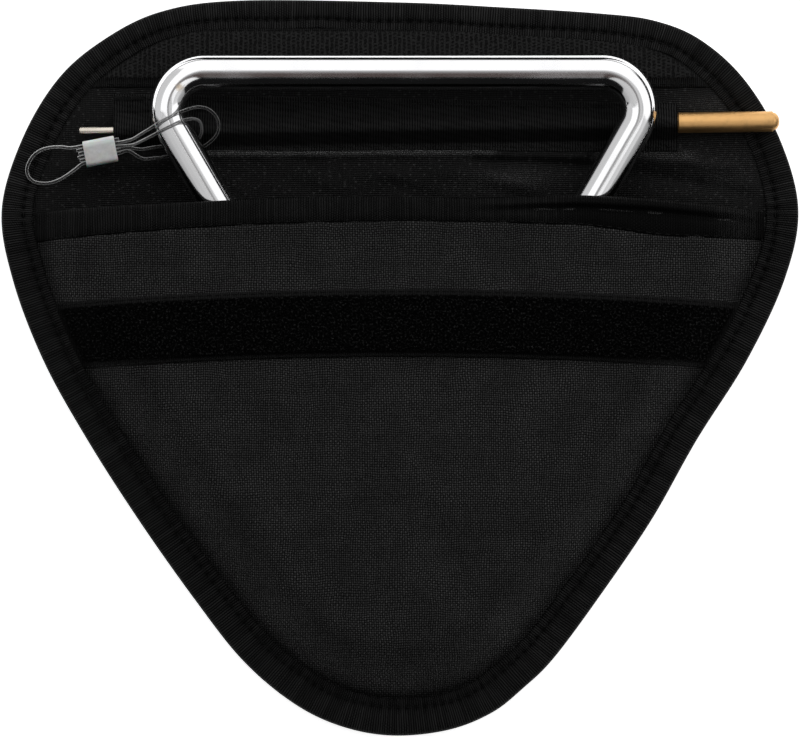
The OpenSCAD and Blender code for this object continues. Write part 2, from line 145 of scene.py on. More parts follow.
class MetalSizes(bpy.types.PropertyGroup):
    """Sizes of the triangle and of the beater."""

    bend_r: size_setting("Bend", "Radius of each bend, at the bar's middle line", 0.0112)
    end_gap: size_setting("Gap", "Clear gap between the ends at the open corner", 0.006)
    shaft_d: size_setting("Shaft", "Diameter of the beater's shaft", 0.0026)
    head_d: size_setting("Head", "Diameter of the beater's brass head", 0.0062)
    head_l: size_setting("Head length", "Length of the beater's brass head", 0.0307)
    tail_l: size_setting("Tail", "Length of shaft that stands out at the left", 0.0102)
    lean: FloatProperty(name="Lean", description="Lean of the beater across the flap",
                        default=math.radians(0.8), subtype="ANGLE")
    line_d: size_setting("Line", "Diameter of the nylon line", 0.001)


class FinishColours(bpy.types.PropertyGroup):
    """Colours that a user would change."""

    cloth: colour_setting("Cloth", "Colour of the woven cover", (0.0353, 0.0353, 0.0353))
    tape: colour_setting("Tape", "Colour of the ribbed tape", (0.0082, 0.0082, 0.0082))
    lining: colour_setting("Lining", "Colour of the knitted lining", (0.0056, 0.0056, 0.0056))
    pile: colour_setting("Pile", "Colour of the pile strip", (0.0054, 0.0054, 0.0054))
    brass: colour_setting("Brass", "Colour of the beater's head", (0.77, 0.45, 0.18))
    chrome: colour_setting("Chrome", "Colour of the plated triangle", (0.90, 0.90, 0.91))
    stations: IntProperty(name="Stations", description="Stations of the edge tape round the pouch",
                          default=1440, min=240, max=2400)


class TriangleSet(bpy.types.PropertyGroup):
    """Everything that the operators read."""

    pouch: PointerProperty(type=PouchSizes)
    strips: PointerProperty(type=StripSizes)
    metal: PointerProperty(type=MetalSizes)
    finish: PointerProperty(type=FinishColours)


def settings():
    """The sizes and colours of this scene."""
    return bpy.context.scene.triangle_set


# ---------------------------------------------------------------- shapes as arrays


def smoothstep(x):
    """Share that goes from 0 to 1 with x, flat at both ends: x squared times three less two x."""
    x = np.clip(x, 0, 1)
    return x * x * (3 - 2 * x)


def cubic(a, b, c, d, steps):
    """Pieces of a smooth curve from b to c: each is the cubic that passes through both with the
    slopes of the lines from a to c and from b to d."""
    t = (np.arange(steps) / steps)[None, :, None]
    curve = (2 * b + (c - a) * t + (2 * a - 5 * b + 4 * c - d) * t ** 2
             + (3 * b - 3 * c + d - a) * t ** 3) / 2
    return curve.reshape(-1, b.shape[-1])


def closed_curve(points, steps):
    """Smooth closed curve through the points."""
    return cubic(*(np.roll(points, -k, axis=0)[:, None] for k in (-1, 0, 1, 2)), steps)


def open_curve(points, steps):
    """Smooth curve through the points, each end continued straight on."""
    points = np.asarray(points, float)
    longer = np.vstack([2 * points[0] - points[1], points, 2 * points[-1] - points[-2]])
    curve = cubic(*(longer[k:len(longer) - 3 + k, None] for k in range(4)), steps)
    return np.vstack([curve, points[-1:]])


def way_along(line):
    """Length along a line from its start to each of its points."""
    return np.concatenate([[0], np.cumsum(np.linalg.norm(np.diff(line, axis=0), axis=1))])


def found_along(at, way, values):
    """Values read at new places along a line. way is where the given values are."""
    return np.stack([np.interp(at, way, values[:, k]) for k in range(values.shape[1])], -1)


def even_steps(line, count):
    """The line's points spaced evenly along it, its two ends kept."""
    way = way_along(line)
    return found_along(np.linspace(0, way[-1], count), way, line)


def unit(v):
    """Vectors of length one."""
    return v / np.linalg.norm(v, axis=-1, keepdims=True)


def circles(side, up, sides):
    """Round rings of radius 1, each between its own two directions."""
    turn = np.linspace(0, 2 * np.pi, sides, endpoint=False)[:, None]
    return side[:, None] * np.cos(turn) + up[:, None] * np.sin(turn)


def with_inside(outer, thick):
    """Closed sections of a tape: its outer line, then the same line back, moved in by thick."""
    way = np.gradient(outer, axis=1)
    out = unit(np.stack([-way[..., 1], way[..., 0]], -1))
    return np.concatenate([outer, (outer - out * thick)[:, ::-1]], 1)


def at_height(plan, height):
    """Points of a plan with their heights."""
    return np.concatenate([plan, height[..., None]], -1)


def steps_in(count):
    """Number of steps from each of count stations to the nearer end."""
    return np.minimum(np.arange(count), np.arange(count)[::-1])


def outline_ring(count):
    """Points evenly round the outline, the directions into the pouch, and the way along it."""
    pouch = settings().pouch
    curve = closed_curve(OUTLINE_SHARES * [pouch.half_w, pouch.half_h], 24)
    ring = even_steps(np.vstack([curve, curve[:1]]), count + 1)
    way = way_along(ring)
    ring = ring[:-1]
    along = unit(np.roll(ring, -1, axis=0) - np.roll(ring, 1, axis=0))
    return ring, np.stack([-along[:, 1], along[:, 0]], -1), way


def edge_distance(xy):
    """Distance of each point from the outline: the least of its distances from the outline's
    pieces, each taken square to the piece or to its nearer end."""
    a = outline_ring(384)[0]
    ab = np.roll(a, -1, axis=0) - a
    squared = (ab ** 2).sum(1)
    flat = xy.reshape(-1, 2)
    found = []
    for block in np.array_split(flat, max(1, len(flat) // 4000)):
        ap = block[:, None] - a
        t = np.clip((ap * ab).sum(2) / squared, 0, 1)
        found.append(np.sqrt(((ap - t[..., None] * ab) ** 2).sum(2).min(1)))
    return np.concatenate(found).reshape(xy.shape[:-1])


def tape_width(y):
    """Width of the edge tape at height y: narrower towards the top edge, wider towards the tip."""
    pouch = settings().pouch
    share = y / pouch.half_h
    return pouch.tape_w - pouch.tape_drift * share * np.abs(share)


def tape_rim(inset):
    """Points along the edge tape's inner edge, moved further in by inset."""
    ring, inward, _ = outline_ring(2000)
    return ring + inward * (tape_width(ring[:, 1]) + inset)[:, None]


def ripple(xy, wave, seed, waves=6):
    """Uneven swell between -1 and 1: a few sine waves of about one length in seeded directions."""
    draw = np.random.default_rng(seed)
    turn, phase = draw.uniform(0, 2 * np.pi, (2, waves))
    size = 2 * np.pi / (wave * draw.uniform(0.7, 1.4, waves))
    along = xy[..., :1] * np.cos(turn) * size + xy[..., 1:2] * np.sin(turn) * size + phase
    return np.sin(along).sum(-1) / waves ** 0.5 / 1.4


def swell(xy, centre, reach, turn=0.0):
    """Round hill of height 1 at centre: one over e at a distance of reach, along and across."""
    gap = xy - np.array(centre)
    c, s = math.cos(turn), math.sin(turn)
    along = (gap[..., 0] * c + gap[..., 1] * s) / reach[0]
    across = (-gap[..., 0] * s + gap[..., 1] * c) / reach[1]
    return np.exp(-along ** 2 - across ** 2)


def crease(xy, start, end, half):
    """Ridge of height 1 from start to end, half wide, that dies away past both ends."""
    start, end = np.array(start), np.array(end)
    way = end - start
    share = np.clip(((xy - start) @ way) / (way @ way), 0, 1)
    gap = np.linalg.norm(xy - start - share[..., None] * way, axis=-1)
    return np.exp(-(gap / half) ** 2)


def band_y(x, middle):
    """Height of a band across the pocket: it drops by the square of the way out to the side."""
    pouch = settings().pouch
    return middle - pouch.bow * (x / pouch.half_w) ** 2


def mouth_band(x):
    """Upper and lower edge of the mouth's tape, with the waver of the sewn one. Both follow a few
    given points, drawn between them and evened out over 9 mm."""
    pouch = settings().pouch
    at = np.linspace(-0.121, 0.121, 300)
    lift = np.interp(at, np.array([-110, -60, -35, 0, 24, 54, 73, 105]) * MM,
                     np.array([0.1, -0.1, 0.2, 0, -0.3, 1.5, 1.5, 0.4]) * MM)
    drop = np.interp(at, np.array([-112, -108, -75, -45, 0, 55, 66, 78, 92, 108, 112]) * MM,
                     np.array([1.6, 1.4, 0.8, 0.3, 0, 0.1, 0.9, 2.1, 1.6, 0.9, 0.8]) * MM)
    lift, drop = (np.convolve(np.pad(line, 5, "edge"), np.ones(11) / 11, "valid")
                  for line in (lift, drop))
    high = band_y(x, pouch.mouth_y) - 0.25 * MM + np.interp(x, at, lift)
    low = band_y(x, pouch.mouth_y - pouch.mouth_tape_w) - np.interp(x, at, drop)
    return high, low


def front_shape(xy):
    """Outer height and thickness of the pocket's front. It lies flat in the seam and rises from it
    to the roof as a parabola, with soft swells, a few dips and a puffed edge under the mouth's
    tape."""
    pouch = settings().pouch
    inside = edge_distance(xy) - tape_width(xy[..., 1]) - 0.3 * MM
    side = smoothstep((xy[..., 1] + 0.092) / 0.050)
    share = np.clip(inside / (pouch.rise_w + (pouch.rise_side - pouch.rise_w) * side), 0, 1)
    rise = 1 - (1 - share) ** 2
    height = RIM_TOP + (ROOF - RIM_TOP) * rise - 0.5 * MM * smoothstep(-inside / (1.5 * MM))
    under = mouth_band(xy[..., 0])[1] - xy[..., 1]
    height = height + share * MM * (
        0.40 * smoothstep(under / (0.9 * MM)) * np.exp(-np.clip(under, 0, None) / (6 * MM)) +
        0.28 * ripple(xy, 0.042, 5) + 0.1 * ripple(xy, 0.016, 6)
        - 1.3 * swell(xy, (0.0904, -0.0036), (0.008, 0.020), -0.5)
        - 0.9 * swell(xy, (0.003, -0.090), (0.016, 0.006))
        - 0.5 * swell(xy, (-0.062, 0.002), (0.006, 0.025), 0.6))
    thick = (0.95 + 1.25 * np.clip(2 * rise, 0, 1)) * MM
    return height, np.minimum(thick, height - BACK_TOP - 0.05 * MM)


def lining_height(xy):
    """Height of the lining: pressed down under the edge tape, softly padded inside it, and wrinkled
    above the pocket's mouth."""
    inside = edge_distance(xy) - tape_width(xy[..., 1])
    height = BACK_TOP - 0.5 * MM * smoothstep(-inside / (1.5 * MM))
    puff = smoothstep(inside / (7 * MM)) * MM
    above = smoothstep((xy[..., 1] - 0.045) / (5 * MM))
    below_sleeve = smoothstep((0.0665 - xy[..., 1]) / (2.5 * MM)) * above
    wrinkles = (
        1.5 * crease(xy, (-0.060, 0.0650), (0.024, 0.0652), 1.5 * MM)
        + 1.2 * crease(xy, (0.024, 0.0652), (0.056, 0.0640), 1.4 * MM)
        + 1.1 * crease(xy, (-0.100, 0.0600), (-0.070, 0.0625), 2.5 * MM)
        - 1.0 * crease(xy, (0.027, 0.0622), (0.058, 0.0605), 1.5 * MM)
        + 1.5 * swell(xy, (0.034, 0.0568), (0.012, 0.0032), -0.1)
        + 0.9 * swell(xy, (0.000, 0.0585), (0.020, 0.0030), 0.05)
        - 1.1 * crease(xy, (0.064, 0.0596), (0.090, 0.0553), 2.2 * MM)
        - 0.8 * crease(xy, (0.090, 0.0553), (0.104, 0.0521), 2.0 * MM)
        + 1.0 * crease(xy, (0.070, 0.0640), (0.100, 0.0610), 2.0 * MM))
    edge = smoothstep(inside / (4 * MM))
    return (height + 0.22 * puff * (1 + ripple(xy, 0.030, 9))
            + below_sleeve * edge * MM * (1.25 * wrinkles
                                          + 0.28 * ripple(xy * [0.35, 1], 0.005, 11)))


def painted_glint_share(xy):
    """Share of painted glints on the lining's loops, a painted highlight on the folds: most on the
    crest under the sleeve, some on the smaller folds.
    """
    return np.clip(crease(xy, (-0.060, 0.0648), (0.028, 0.0656), 1.0 * MM)
                   + 0.55 * crease(xy, (0.060, 0.0650), (0.088, 0.0640), 1.4 * MM)
                   + 0.35 * swell(xy, (0.034, 0.0568), (0.013, 0.0035))
                   + 0.30 * swell(xy, (0.096, 0.0790), (0.010, 0.0040))
                   + 0.18 * swell(xy, (0.098, 0.0600), (0.014, 0.0070)), 0, 1)


def sleeve_frame(local):
    """Points given along, across and above the beater's line, put in the frame of the part."""
    lean = settings().metal.lean
    c, s = math.cos(lean), math.sin(lean)
    start = beater_start()
    x, y, z = local[..., 0], local[..., 1], local[..., 2]
    return np.stack([start[0] + x * c - y * s, start[1] + x * s + y * c, start[2] + z], -1)


def beater_start():
    """The left end of the sleeve on the shaft's middle line."""
    strips, metal = settings().strips, settings().metal
    low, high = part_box("beater_shaft")
    return (-strips.sleeve_l / 2 - 1.5 * MM,
            low.y + metal.shaft_d / 2 + metal.tail_l * math.sin(metal.lean), (low.z + high.z) / 2)


# ---------------------------------------------------------------- arrays to meshes


def grid(points, u=None, v=None, wrap_u=False, wrap_v=False):
    """Quads over a grid of points, with the UV of each corner. u and v run one step past a wrapped
    side, so that the map has no jump there. Without them the map is the plan."""
    rows, columns = points.shape[:2]
    i, j = np.meshgrid(np.arange(rows - (not wrap_u)), np.arange(columns - (not wrap_v)),
                       indexing="ij")
    corners = [(i, j), (i + 1, j), (i + 1, j + 1), (i, j + 1)]
    quads = np.stack([(a % rows) * columns + b % columns for a, b in corners], -1).reshape(-1, 4)
    flat = points.reshape(-1, 3)
    if u is None:
        uv = flat[quads][..., :2]
    else:
        uv = np.stack([np.stack([np.asarray(u)[a], np.asarray(v)[b]], -1) for a, b in corners], 2)
        uv = uv.reshape(-1, 4, 2)
    return flat, quads, uv / UV_UNIT


def slab(top, bottom):
    """Closed slab between two grids of the same size: both faces and the four walls."""
    walls = [np.stack([top[0], bottom[0]]), np.stack([top[-1], bottom[-1]]),
             np.stack([top[:, 0], bottom[:, 0]]), np.stack([top[:, -1], bottom[:, -1]])]
    return [grid(part) for part in [top, bottom, *walls]]


def new_object(name, data):
    """A new object in the scene."""
    made = bpy.data.objects.new(name, data)
    bpy.context.scene.collection.objects.link(made)
    return made


def for_first(parts, values):
    """One number for each point of the parts: the values for the first part and 0 for the rest."""
    found = np.zeros(sum(len(part[0]) for part in parts))
    found[:values.size] = values.ravel()
    return found


def piece(name, parts, material, body, values=None):
    """One object from several grids: their points are merged where they meet, the faces are turned
    outwards, and it rides on its body. values gives one number for each point of the grids."""
    count = np.cumsum([0] + [len(part[0]) for part in parts])
    mesh = bpy.data.meshes.new(name)
    mesh.from_pydata(np.vstack([part[0] for part in parts]).tolist(), [],
                     np.vstack([part[1] + start for part, start in zip(parts, count)]).tolist())
    layer = mesh.uv_layers.new(name="Cloth")
    layer.data.foreach_set("uv", np.concatenate([part[2].ravel() for part in parts]))
    if values is not None:
        mask = mesh.attributes.new("mask", "FLOAT", "POINT")
        mask.data.foreach_set("value", np.asarray(values, np.float32).ravel())
    work = bmesh.new()
    work.from_mesh(mesh)
    bmesh.ops.remove_doubles(work, verts=work.verts, dist=2e-6)
    bmesh.ops.dissolve_degenerate(work, edges=work.edges, dist=1e-7)
    bmesh.ops.recalc_face_normals(work, faces=work.faces)
    for face in work.faces:
        face.smooth = True
    work.to_mesh(mesh)
    work.free()
    made = new_object(name, mesh)
    made.data.materials.append(material)
    if body:
        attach(made, body)
    return made


def sharp_by_angle(made, angle):
    """Keeps edges that turn by more than the angle sharp."""
    made.data.set_sharp_from_angle(angle=angle)


def face_down(made, material, below):
    """Gives a second material to the faces whose normal's height is less than below."""
    made.data.materials.append(material)
    down = np.empty(len(made.data.polygons) * 3)
    made.data.polygons.foreach_get("normal", down)
    made.data.polygons.foreach_set("material_index", (down[2::3] < below).astype(np.int32))


def tube(path, radius, sides):
    """Round tube along a path that is nowhere upright. Each ring lies square to the way there;
    where the radius is 0 it closes."""
    path = np.asarray(path, float)
    way = unit(np.gradient(path, axis=0))
    side = unit(np.cross(way, [0, 0, 1]))
    radius = np.broadcast_to(radius, len(path))
    ring = circles(side, np.cross(side, way), sides)
    points = path[:, None] + radius[:, None, None] * ring
    around = 2 * np.pi * np.max(radius) * np.arange(sides + 1) / sides
    return grid(points, np.append(way_along(path), 0), around, wrap_v=True)


def stitches(path, pitch, length, radius, lift=0.12 * MM, facing=1.0, sides=6, rings=7):
    """A row of stitches on a face that looks up, or down where facing is -1. Each is a short thread
    that arches over the cloth by lift and dives into it at both ends: its height falls with the
    square of the way out from its middle."""
    way = way_along(path)
    count = max(2, int(way[-1] / pitch))
    at = (np.arange(count) + 0.5) * way[-1] / count
    centre = found_along(at, way, path)
    along = unit(found_along(at, way, np.gradient(path, axis=0)))
    top = np.tile([0.0, 0, facing], (count, 1))
    side = unit(np.cross(along, top))
    t = np.linspace(-1, 1, rings)
    thin = radius * np.sqrt(np.clip(1 - t ** 4, 0, 1))
    rise = lift - (lift + 1.1 * radius) * t ** 2 + 0.2 * radius
    middle = (centre[:, None] + along[:, None] * (t * length / 2)[None, :, None]
              + top[:, None] * rise[None, :, None])
    ring = circles(side, top, sides)[:, None]
    points = middle[:, :, None] + thin[None, :, None, None] * ring
    around = 2 * np.pi * radius * np.arange(sides + 1) / sides
    _, quads, uv = grid(points[0], np.append(t, 1) * length / 2, around, wrap_v=True)
    quads = (quads[None] + (np.arange(count) * rings * sides)[:, None, None]).reshape(-1, 4)
    return points.reshape(-1, 3), quads, np.tile(uv, (count, 1, 1))


# ---------------------------------------------------------------- shader nodes


class Nodes:
    """Short names for the nodes of one shader tree. Every value is a number or a socket."""

    def __init__(self, tree):
        self.tree = tree

    def fill(self, node, inputs):
        """Sets a node's inputs to numbers or links them to sockets."""
        for name, value in inputs.items():
            if isinstance(value, bpy.types.NodeSocket):
                self.tree.links.new(value, node.inputs[name])
            else:
                node.inputs[name].default_value = value
        return node

    def add(self, kind, inputs=None, **options):
        """Outputs of a new node with its options and inputs set."""
        node = self.tree.nodes.new("ShaderNode" + kind)
        for name, value in options.items():
            setattr(node, name, value)
        return self.fill(node, inputs or {}).outputs

    def maths(self, operation, *values):
        """Result of one Math node."""
        return self.add("Math", dict(enumerate(values)), operation=operation)[0]

    def times(self, a, b):
        """a times b."""
        return self.maths("MULTIPLY", a, b)

    def times_plus(self, a, b, c):
        """a times b, plus c."""
        return self.maths("MULTIPLY_ADD", a, b, c)

    def less(self, a, b):
        """a less b."""
        return self.maths("SUBTRACT", a, b)

    def floor(self, value):
        """The whole number below the value."""
        return self.maths("FLOOR", value)

    def wave(self, value, kind="SINE"):
        """Size of the sine, or cosine, of pi times the value."""
        return self.maths("ABSOLUTE", self.maths(kind, self.times(value, math.pi)))

    def vector(self, operation, a, b):
        """Result of one Vector Math node."""
        return self.add("VectorMath", {0: a, 1: b}, operation=operation)[0]

    def scaled(self, vector, by):
        """Vector or colour times a number."""
        return self.add("VectorMath", {0: vector, 3: by}, operation="SCALE")[0]

    def parts(self, vector):
        """The first two parts of a vector."""
        outputs = self.add("SeparateXYZ", {0: vector})
        return outputs[0], outputs[1]

    def joined(self, x, y):
        """Vector with two parts."""
        return self.add("CombineXYZ", {0: x, 1: y})[0]

    def own_number(self, number):
        """A random number for each whole number."""
        return self.add("TexWhiteNoise", {"W": number}, noise_dimensions="1D")[0]

    def cell_number(self, x, y):
        """A random number for each cell of the plan."""
        cell = self.joined(self.floor(x), self.floor(y))
        return self.add("TexWhiteNoise", {"Vector": cell}, noise_dimensions="2D")[0]

    def mix(self, share, a, b):
        """Colour between a and b."""
        return self.add("Mix", {0: share, 6: a, 7: b}, data_type="RGBA", blend_type="MIX")[2]

    def tones(self, share, colour, low, high):
        """Colour between low and high times the given one."""
        return self.mix(share, rgba(colour, low), rgba(colour, high))

    def ranged(self, value, low, high, to_low=0.0, to_high=1.0):
        """Value carried from one range to another, smooth at both ends and held outside it."""
        inputs = {"Value": value, "From Min": low, "From Max": high, "To Min": to_low,
                  "To Max": to_high}
        return self.add("MapRange", inputs, interpolation_type="SMOOTHSTEP")["Result"]

    def noise(self, vector, scale, detail=2.0, roughness=0.5, output="Fac"):
        """Value or colour of a noise texture."""
        return self.add("TexNoise", {"Vector": vector, "Scale": scale, "Detail": detail,
                                     "Roughness": roughness})[output]

    def use(self, group, vector, **inputs):
        """Outputs of a shader group placed in the tree with its own values."""
        node = self.tree.nodes.new("ShaderNodeGroup")
        node.node_tree = group()
        return self.fill(node, {"Vector": vector, **inputs}).outputs

    def map(self):
        """The piece's own UV map."""
        return self.add("UVMap", uv_map="Cloth")[0]

    def place(self):
        """Object coordinates."""
        return self.add("TexCoord")["Object"]

    def mask(self):
        """The piece's own number at each point."""
        return self.add("Attribute", attribute_name="mask")["Fac"]

    def turned_map(self, turn):
        """The piece's own UV map, turned."""
        return self.add("Mapping", {"Vector": self.map(), "Rotation": (0, 0, turn)})[0]

    def set(self, **inputs):
        """Sets or links the sockets of the material's shader."""
        self.fill(self.tree.nodes["Principled BSDF"],
                  {name.replace("_", " "): value for name, value in inputs.items()})

    def bump(self, height, distance, strength=1.0):
        """Links a height to the shader's normal through a Bump node."""
        self.set(Normal=self.add("Bump", {"Height": height, "Distance": distance,
                                          "Strength": strength})["Normal"])

    def cloth(self, body, lint, paler, height, distance, strength=1.0):
        """Ends a cloth material: the body's colour, paler where there is lint, and the bump."""
        self.set(Base_Color=self.mix(lint, body, paler))
        self.bump(height, distance, strength)


def rgba(colour, gain):
    """Colour with four parts, made lighter or darker."""
    return [min(1.0, part * gain) for part in colour[:3]] + [1.0]


def grey(value):
    """Grey with four parts."""
    return value, value, value, 1.0


def shader_group(title, outputs, **inputs):
    """Makes a group once, with named sockets, from a function that gives its outputs' values."""
    def wrap(build):
        def get():
            if title in bpy.data.node_groups:
                return bpy.data.node_groups[title]
            tree = bpy.data.node_groups.new(title, "ShaderNodeTree")
            for name, value in {"Vector": None, **inputs}.items():
                kind = "NodeSocketFloat" if isinstance(value, float) else "NodeSocketVector"
                socket = tree.interface.new_socket(name, in_out="INPUT", socket_type=kind)
                if value is not None:
                    socket.default_value = value
            for name in outputs:
                tree.interface.new_socket(name, in_out="OUTPUT", socket_type="NodeSocketFloat")
            start, end = tree.nodes.new("NodeGroupInput"), tree.nodes.new("NodeGroupOutput")
            values = build(Nodes(tree), *(start.outputs[name] for name in ("Vector", *inputs)))
            for name, value in zip(outputs, values):
                tree.links.new(value, end.inputs[name])
            return tree
        return get
    return wrap


@shader_group("Plain Weave", ("Height", "Tone"), Threads=150.0, Wander=0.25)
def weave_group(s, vector, threads, wander):
    """Plain weave: warp and weft threads cross, one over the other in turn. Height is high in the
    middle of whichever thread is on top, and Tone differs from crossing to crossing and from thread
    to thread."""
    shift = s.vector("SUBTRACT", s.noise(vector, 9.0, 3.0, output="Color"), (0.5, 0.5, 0.5))
    x, y = s.parts(s.vector("ADD", s.scaled(vector, threads), s.scaled(shift, wander)))
    turns = [s.maths("SINE", s.times(value, math.pi)) for value in (x, y)]
    over = s.times(*turns)
    warp, weft = (s.times(s.maths("POWER", s.maths("ABSOLUTE", turn), 0.6),
                          s.times_plus(over, side, 0.5)) for turn, side in zip(turns, (0.5, -0.5)))
    of_warp, of_weft = s.own_number(s.floor(x)), s.own_number(s.floor(s.maths("ADD", y, 511.0)))
    on_top = s.maths("GREATER_THAN", over, 0.0)
    patch = s.ranged(s.noise(vector, 7.0), 0.35, 0.65, 0.55, 1.2)
    tone = s.maths("ADD", s.times(of_warp, on_top), s.times(of_weft, s.less(1.0, on_top)))
    tone = s.times_plus(s.cell_number(x, y), 0.35, s.times(tone, 0.20))
    return s.maths("MAXIMUM", warp, weft), s.times_plus(s.times(on_top, patch), 0.45, tone)


@shader_group("Tape Ribs", ("Height", "Tone"), Ribs=133.0, Threads=320.0, Wander=0.3)
def ribs_group(s, vector, ribs, threads, wander):
    """Ribbed tape: round ribs across the tape, each wrapped by finer threads. Height is high on the
    back of a rib, and Tone is a number of its own for each rib."""
    x, y = s.parts(vector)
    along = s.times_plus(x, ribs, s.times(s.noise(vector, 14.0), wander))
    number = s.floor(along)
    thread = s.wave(s.times_plus(y, threads, s.times(number, 0.5)))
    patch = s.ranged(s.noise(vector, 24.0, 1.0), 0.40, 0.62, 0.10, 0.62)
    height = s.times(s.maths("POWER", s.wave(along), 1.5),
                     s.times_plus(thread, patch, s.less(1.0, patch)))
    return height, s.own_number(number)


@shader_group("Lint And Fade", ("Fade", "Lint"), Specks=60.0, Amount=0.5)
def lint_group(s, vector, specks, amount):
    """What use leaves on cloth: Fade is a slow change of depth, Lint a few pale specks and short
    fibres."""
    cells = s.add("TexVoronoi", {"Vector": vector, "Scale": specks})
    chosen = s.add("SeparateColor", {0: cells["Color"]})[0]
    few = s.maths("GREATER_THAN", chosen, s.less(1.0, s.times(amount, 0.06)))
    return s.noise(vector, 3.5, 4.0, 0.6), s.times(s.ranged(cells["Distance"], 0.10, 0.02), few)


@shader_group("Handling Marks", ("Smudge", "Scratch"), Size=40.0, Stretch=(0.05, 1.0, 1.0))
def handling_group(s, vector, size, stretch):
    """What hands leave on metal and plastic: Smudge is a soft cloud, Scratch a net of hair lines
    that run along the first axis."""
    hair = s.noise(s.vector("MULTIPLY", vector, stretch), 2600.0, 2.0, 0.7)
    return s.ranged(s.noise(vector, size, 3.0, 0.6), 0.42, 0.68), s.ranged(hair, 0.60, 0.74)


@shader_group("Box Falloff", ("Light",), Low=0.1, High=0.1, Side=0.1, Least=0.0)
def falloff_group(s, vector, low, high, side, least):
    """How a soft box dies away: Light is 1 in the middle and falls to Least over the shares Low,
    High and Side of its map, measured from those edges."""
    u, v = s.parts(vector)
    ends = s.times(s.ranged(v, 0.0, low, least, 1.0), s.ranged(s.less(1.0, v), 0.0, high))
    return [s.times(ends, s.ranged(s.maths("PINGPONG", u, 0.5), 0.0, side))]


def new_material(name, **sockets):
    """Material with one Principled shader, whose plain values are set on its own sockets."""
    material = bpy.data.materials.new(name)
    material.use_nodes = True
    s = Nodes(material.node_tree)
    s.set(**sockets)
    return material, s


def known(**sockets):
    """Makes a material once, from a function that links its nodes."""
    def wrap(build):
        def get():
            if build.__name__ in bpy.data.materials:
                return bpy.data.materials[build.__name__]
            material, s = new_material(build.__name__, **sockets)
            build(s)
            return material
        return get
    return wrap


@known(Roughness=0.75, Specular_IOR_Level=0.05)
def woven_cover(s):
    """Dull woven polyester: dark threads, painted paler on their backs and with painted shade between
    them, small differences between them, lint.
    """
    colour, at = settings().finish.cloth, s.map()
    weave = s.use(weave_group, at, Threads=142.0, Wander=3.0)
    wear = s.use(lint_group, at, Specks=70.0, Amount=0.5)
    # painted shade between the threads and painted lighter backs, by the weave's height
    body = s.tones(s.ranged(weave["Height"], 0.35, 0.95), colour, 0.12, 1.5)
    tone = s.times_plus(weave["Tone"], 1.1, 0.45)
    body = s.scaled(body, s.times(tone, s.times_plus(wear["Fade"], 0.5, 0.75)))
    s.cloth(body, wear["Lint"], rgba(colour, 5.0), weave["Height"], 0.16 * MM)


def ribbed(s, gain):
    """Grosgrain: ribs across the tape, a faint painted sheen on their backs and painted shade between
    them, and painted shade along the seam where it is sewn.
    """
    colour, at = [part * gain for part in settings().finish.tape], s.map()
    ribs = s.use(ribs_group, at, Ribs=133.0, Threads=140.0, Wander=0.8)
    wear = s.use(lint_group, at, Specks=90.0, Amount=0.7)
    # painted shade between the ribs and a painted sheen on their backs, by the ribs' height
    body = s.tones(s.ranged(ribs["Height"], 0.18, 0.66), colour, 0.03, 2.5)
    tone = s.times(s.times_plus(ribs["Tone"], 0.7, 0.65), s.times_plus(wear["Fade"], 0.8, 0.6))
    # mask: painted shade in the stitch groove and its puckers, and under the mouth tape's rolled lip
    body = s.scaled(body, s.times(tone, s.times_plus(s.mask(), -0.95, 1.0)))
    s.cloth(body, wear["Lint"], rgba(colour, 7.0), ribs["Height"], 0.22 * MM)


@known(Roughness=0.6, Specular_IOR_Level=0.06)
def ribbed_tape(s):
    """Tape round the edge."""
    ribbed(s, 1.0)


@known(Roughness=0.6, Specular_IOR_Level=0.06)
def mouth_ribs(s):
    """Tape along the mouth, darker than the edge tape."""
    ribbed(s, 0.52)


@known(Specular_IOR_Level=0.10)
def knitted_lining(s):
    """Shiny knit: fine courses across with painted shade between them, and short bright dashes where
    a smooth yarn shows, their brightness a painted highlight. Painted glints gather on the folds that
    the mask marks.
    """
    colour, at = settings().finish.lining, s.map()
    x, y = s.parts(at)
    bent = s.noise(at, 8.0, 3.0)
    course = s.times_plus(y, 165.0, s.times(bent, 2.5))
    column = s.times_plus(x, 120.0, s.times(bent, 2.0))
    row = s.wave(course)
    height = s.times(row, s.times_plus(s.wave(column), 0.5, 0.5))
    dashes = s.noise(s.joined(s.times(column, 0.55), s.floor(course)), 1.0, 1.0)
    bright = s.times(s.ranged(dashes, 0.52, 0.80), row)
    # painted glints: bright loops painted into the lining's colour where light would catch its folds
    painted_glints = s.ranged(s.noise(at, 420.0), 0.48, 0.70)
    wear = s.use(lint_group, at, Specks=120.0, Amount=0.8)
    # painted shade: the lining is darker between its courses and loops, by their height
    body = s.tones(s.ranged(height, 0.25, 0.85), colour, 0.08, 2.0)
    # painted highlight on the dashes of smooth yarn, which are also less rough below
    body = s.mix(bright, body, rgba(colour, 10.0))
    # the mask brings the painted glints onto the crest under the sleeve and the smaller folds
    body = s.mix(s.times(s.times(painted_glints, row), s.mask()), body, rgba(colour, 68.0))
    s.set(Roughness=s.ranged(bright, 0.0, 1.0, 0.62, 0.36))
    s.cloth(body, wear["Lint"], rgba(colour, 12.0), height, 0.14 * MM)


@known(Roughness=0.9, Specular_IOR_Level=0.01)
def pile_cloth(s):
    """Looped pile between two flat selvedges: very dark, with painted highlights on a few loops and
    painted shade between the selvedges' ribs.
    """
    colour, at = settings().finish.pile, s.map()
    curls = s.noise(at, 150.0, 3.0, 0.7)
    # painted highlights: a few loops painted bright where light would catch them
    fuzz = s.tones(s.ranged(curls, 0.50, 0.78), colour, 0.20, 8.0)
    ribs = s.use(ribs_group, at, Ribs=150.0, Threads=260.0, Wander=1.0)
    # painted shade between the selvedges' ribs, by their height
    flat = s.tones(ribs["Height"], colour, 1.2, 3.6)
    wear = s.use(lint_group, at, Specks=50.0, Amount=0.6)
    body = s.mix(s.mask(), flat, fuzz)
    s.cloth(body, wear["Lint"], rgba(colour, 16.0), curls, 0.8 * MM, 0.8)


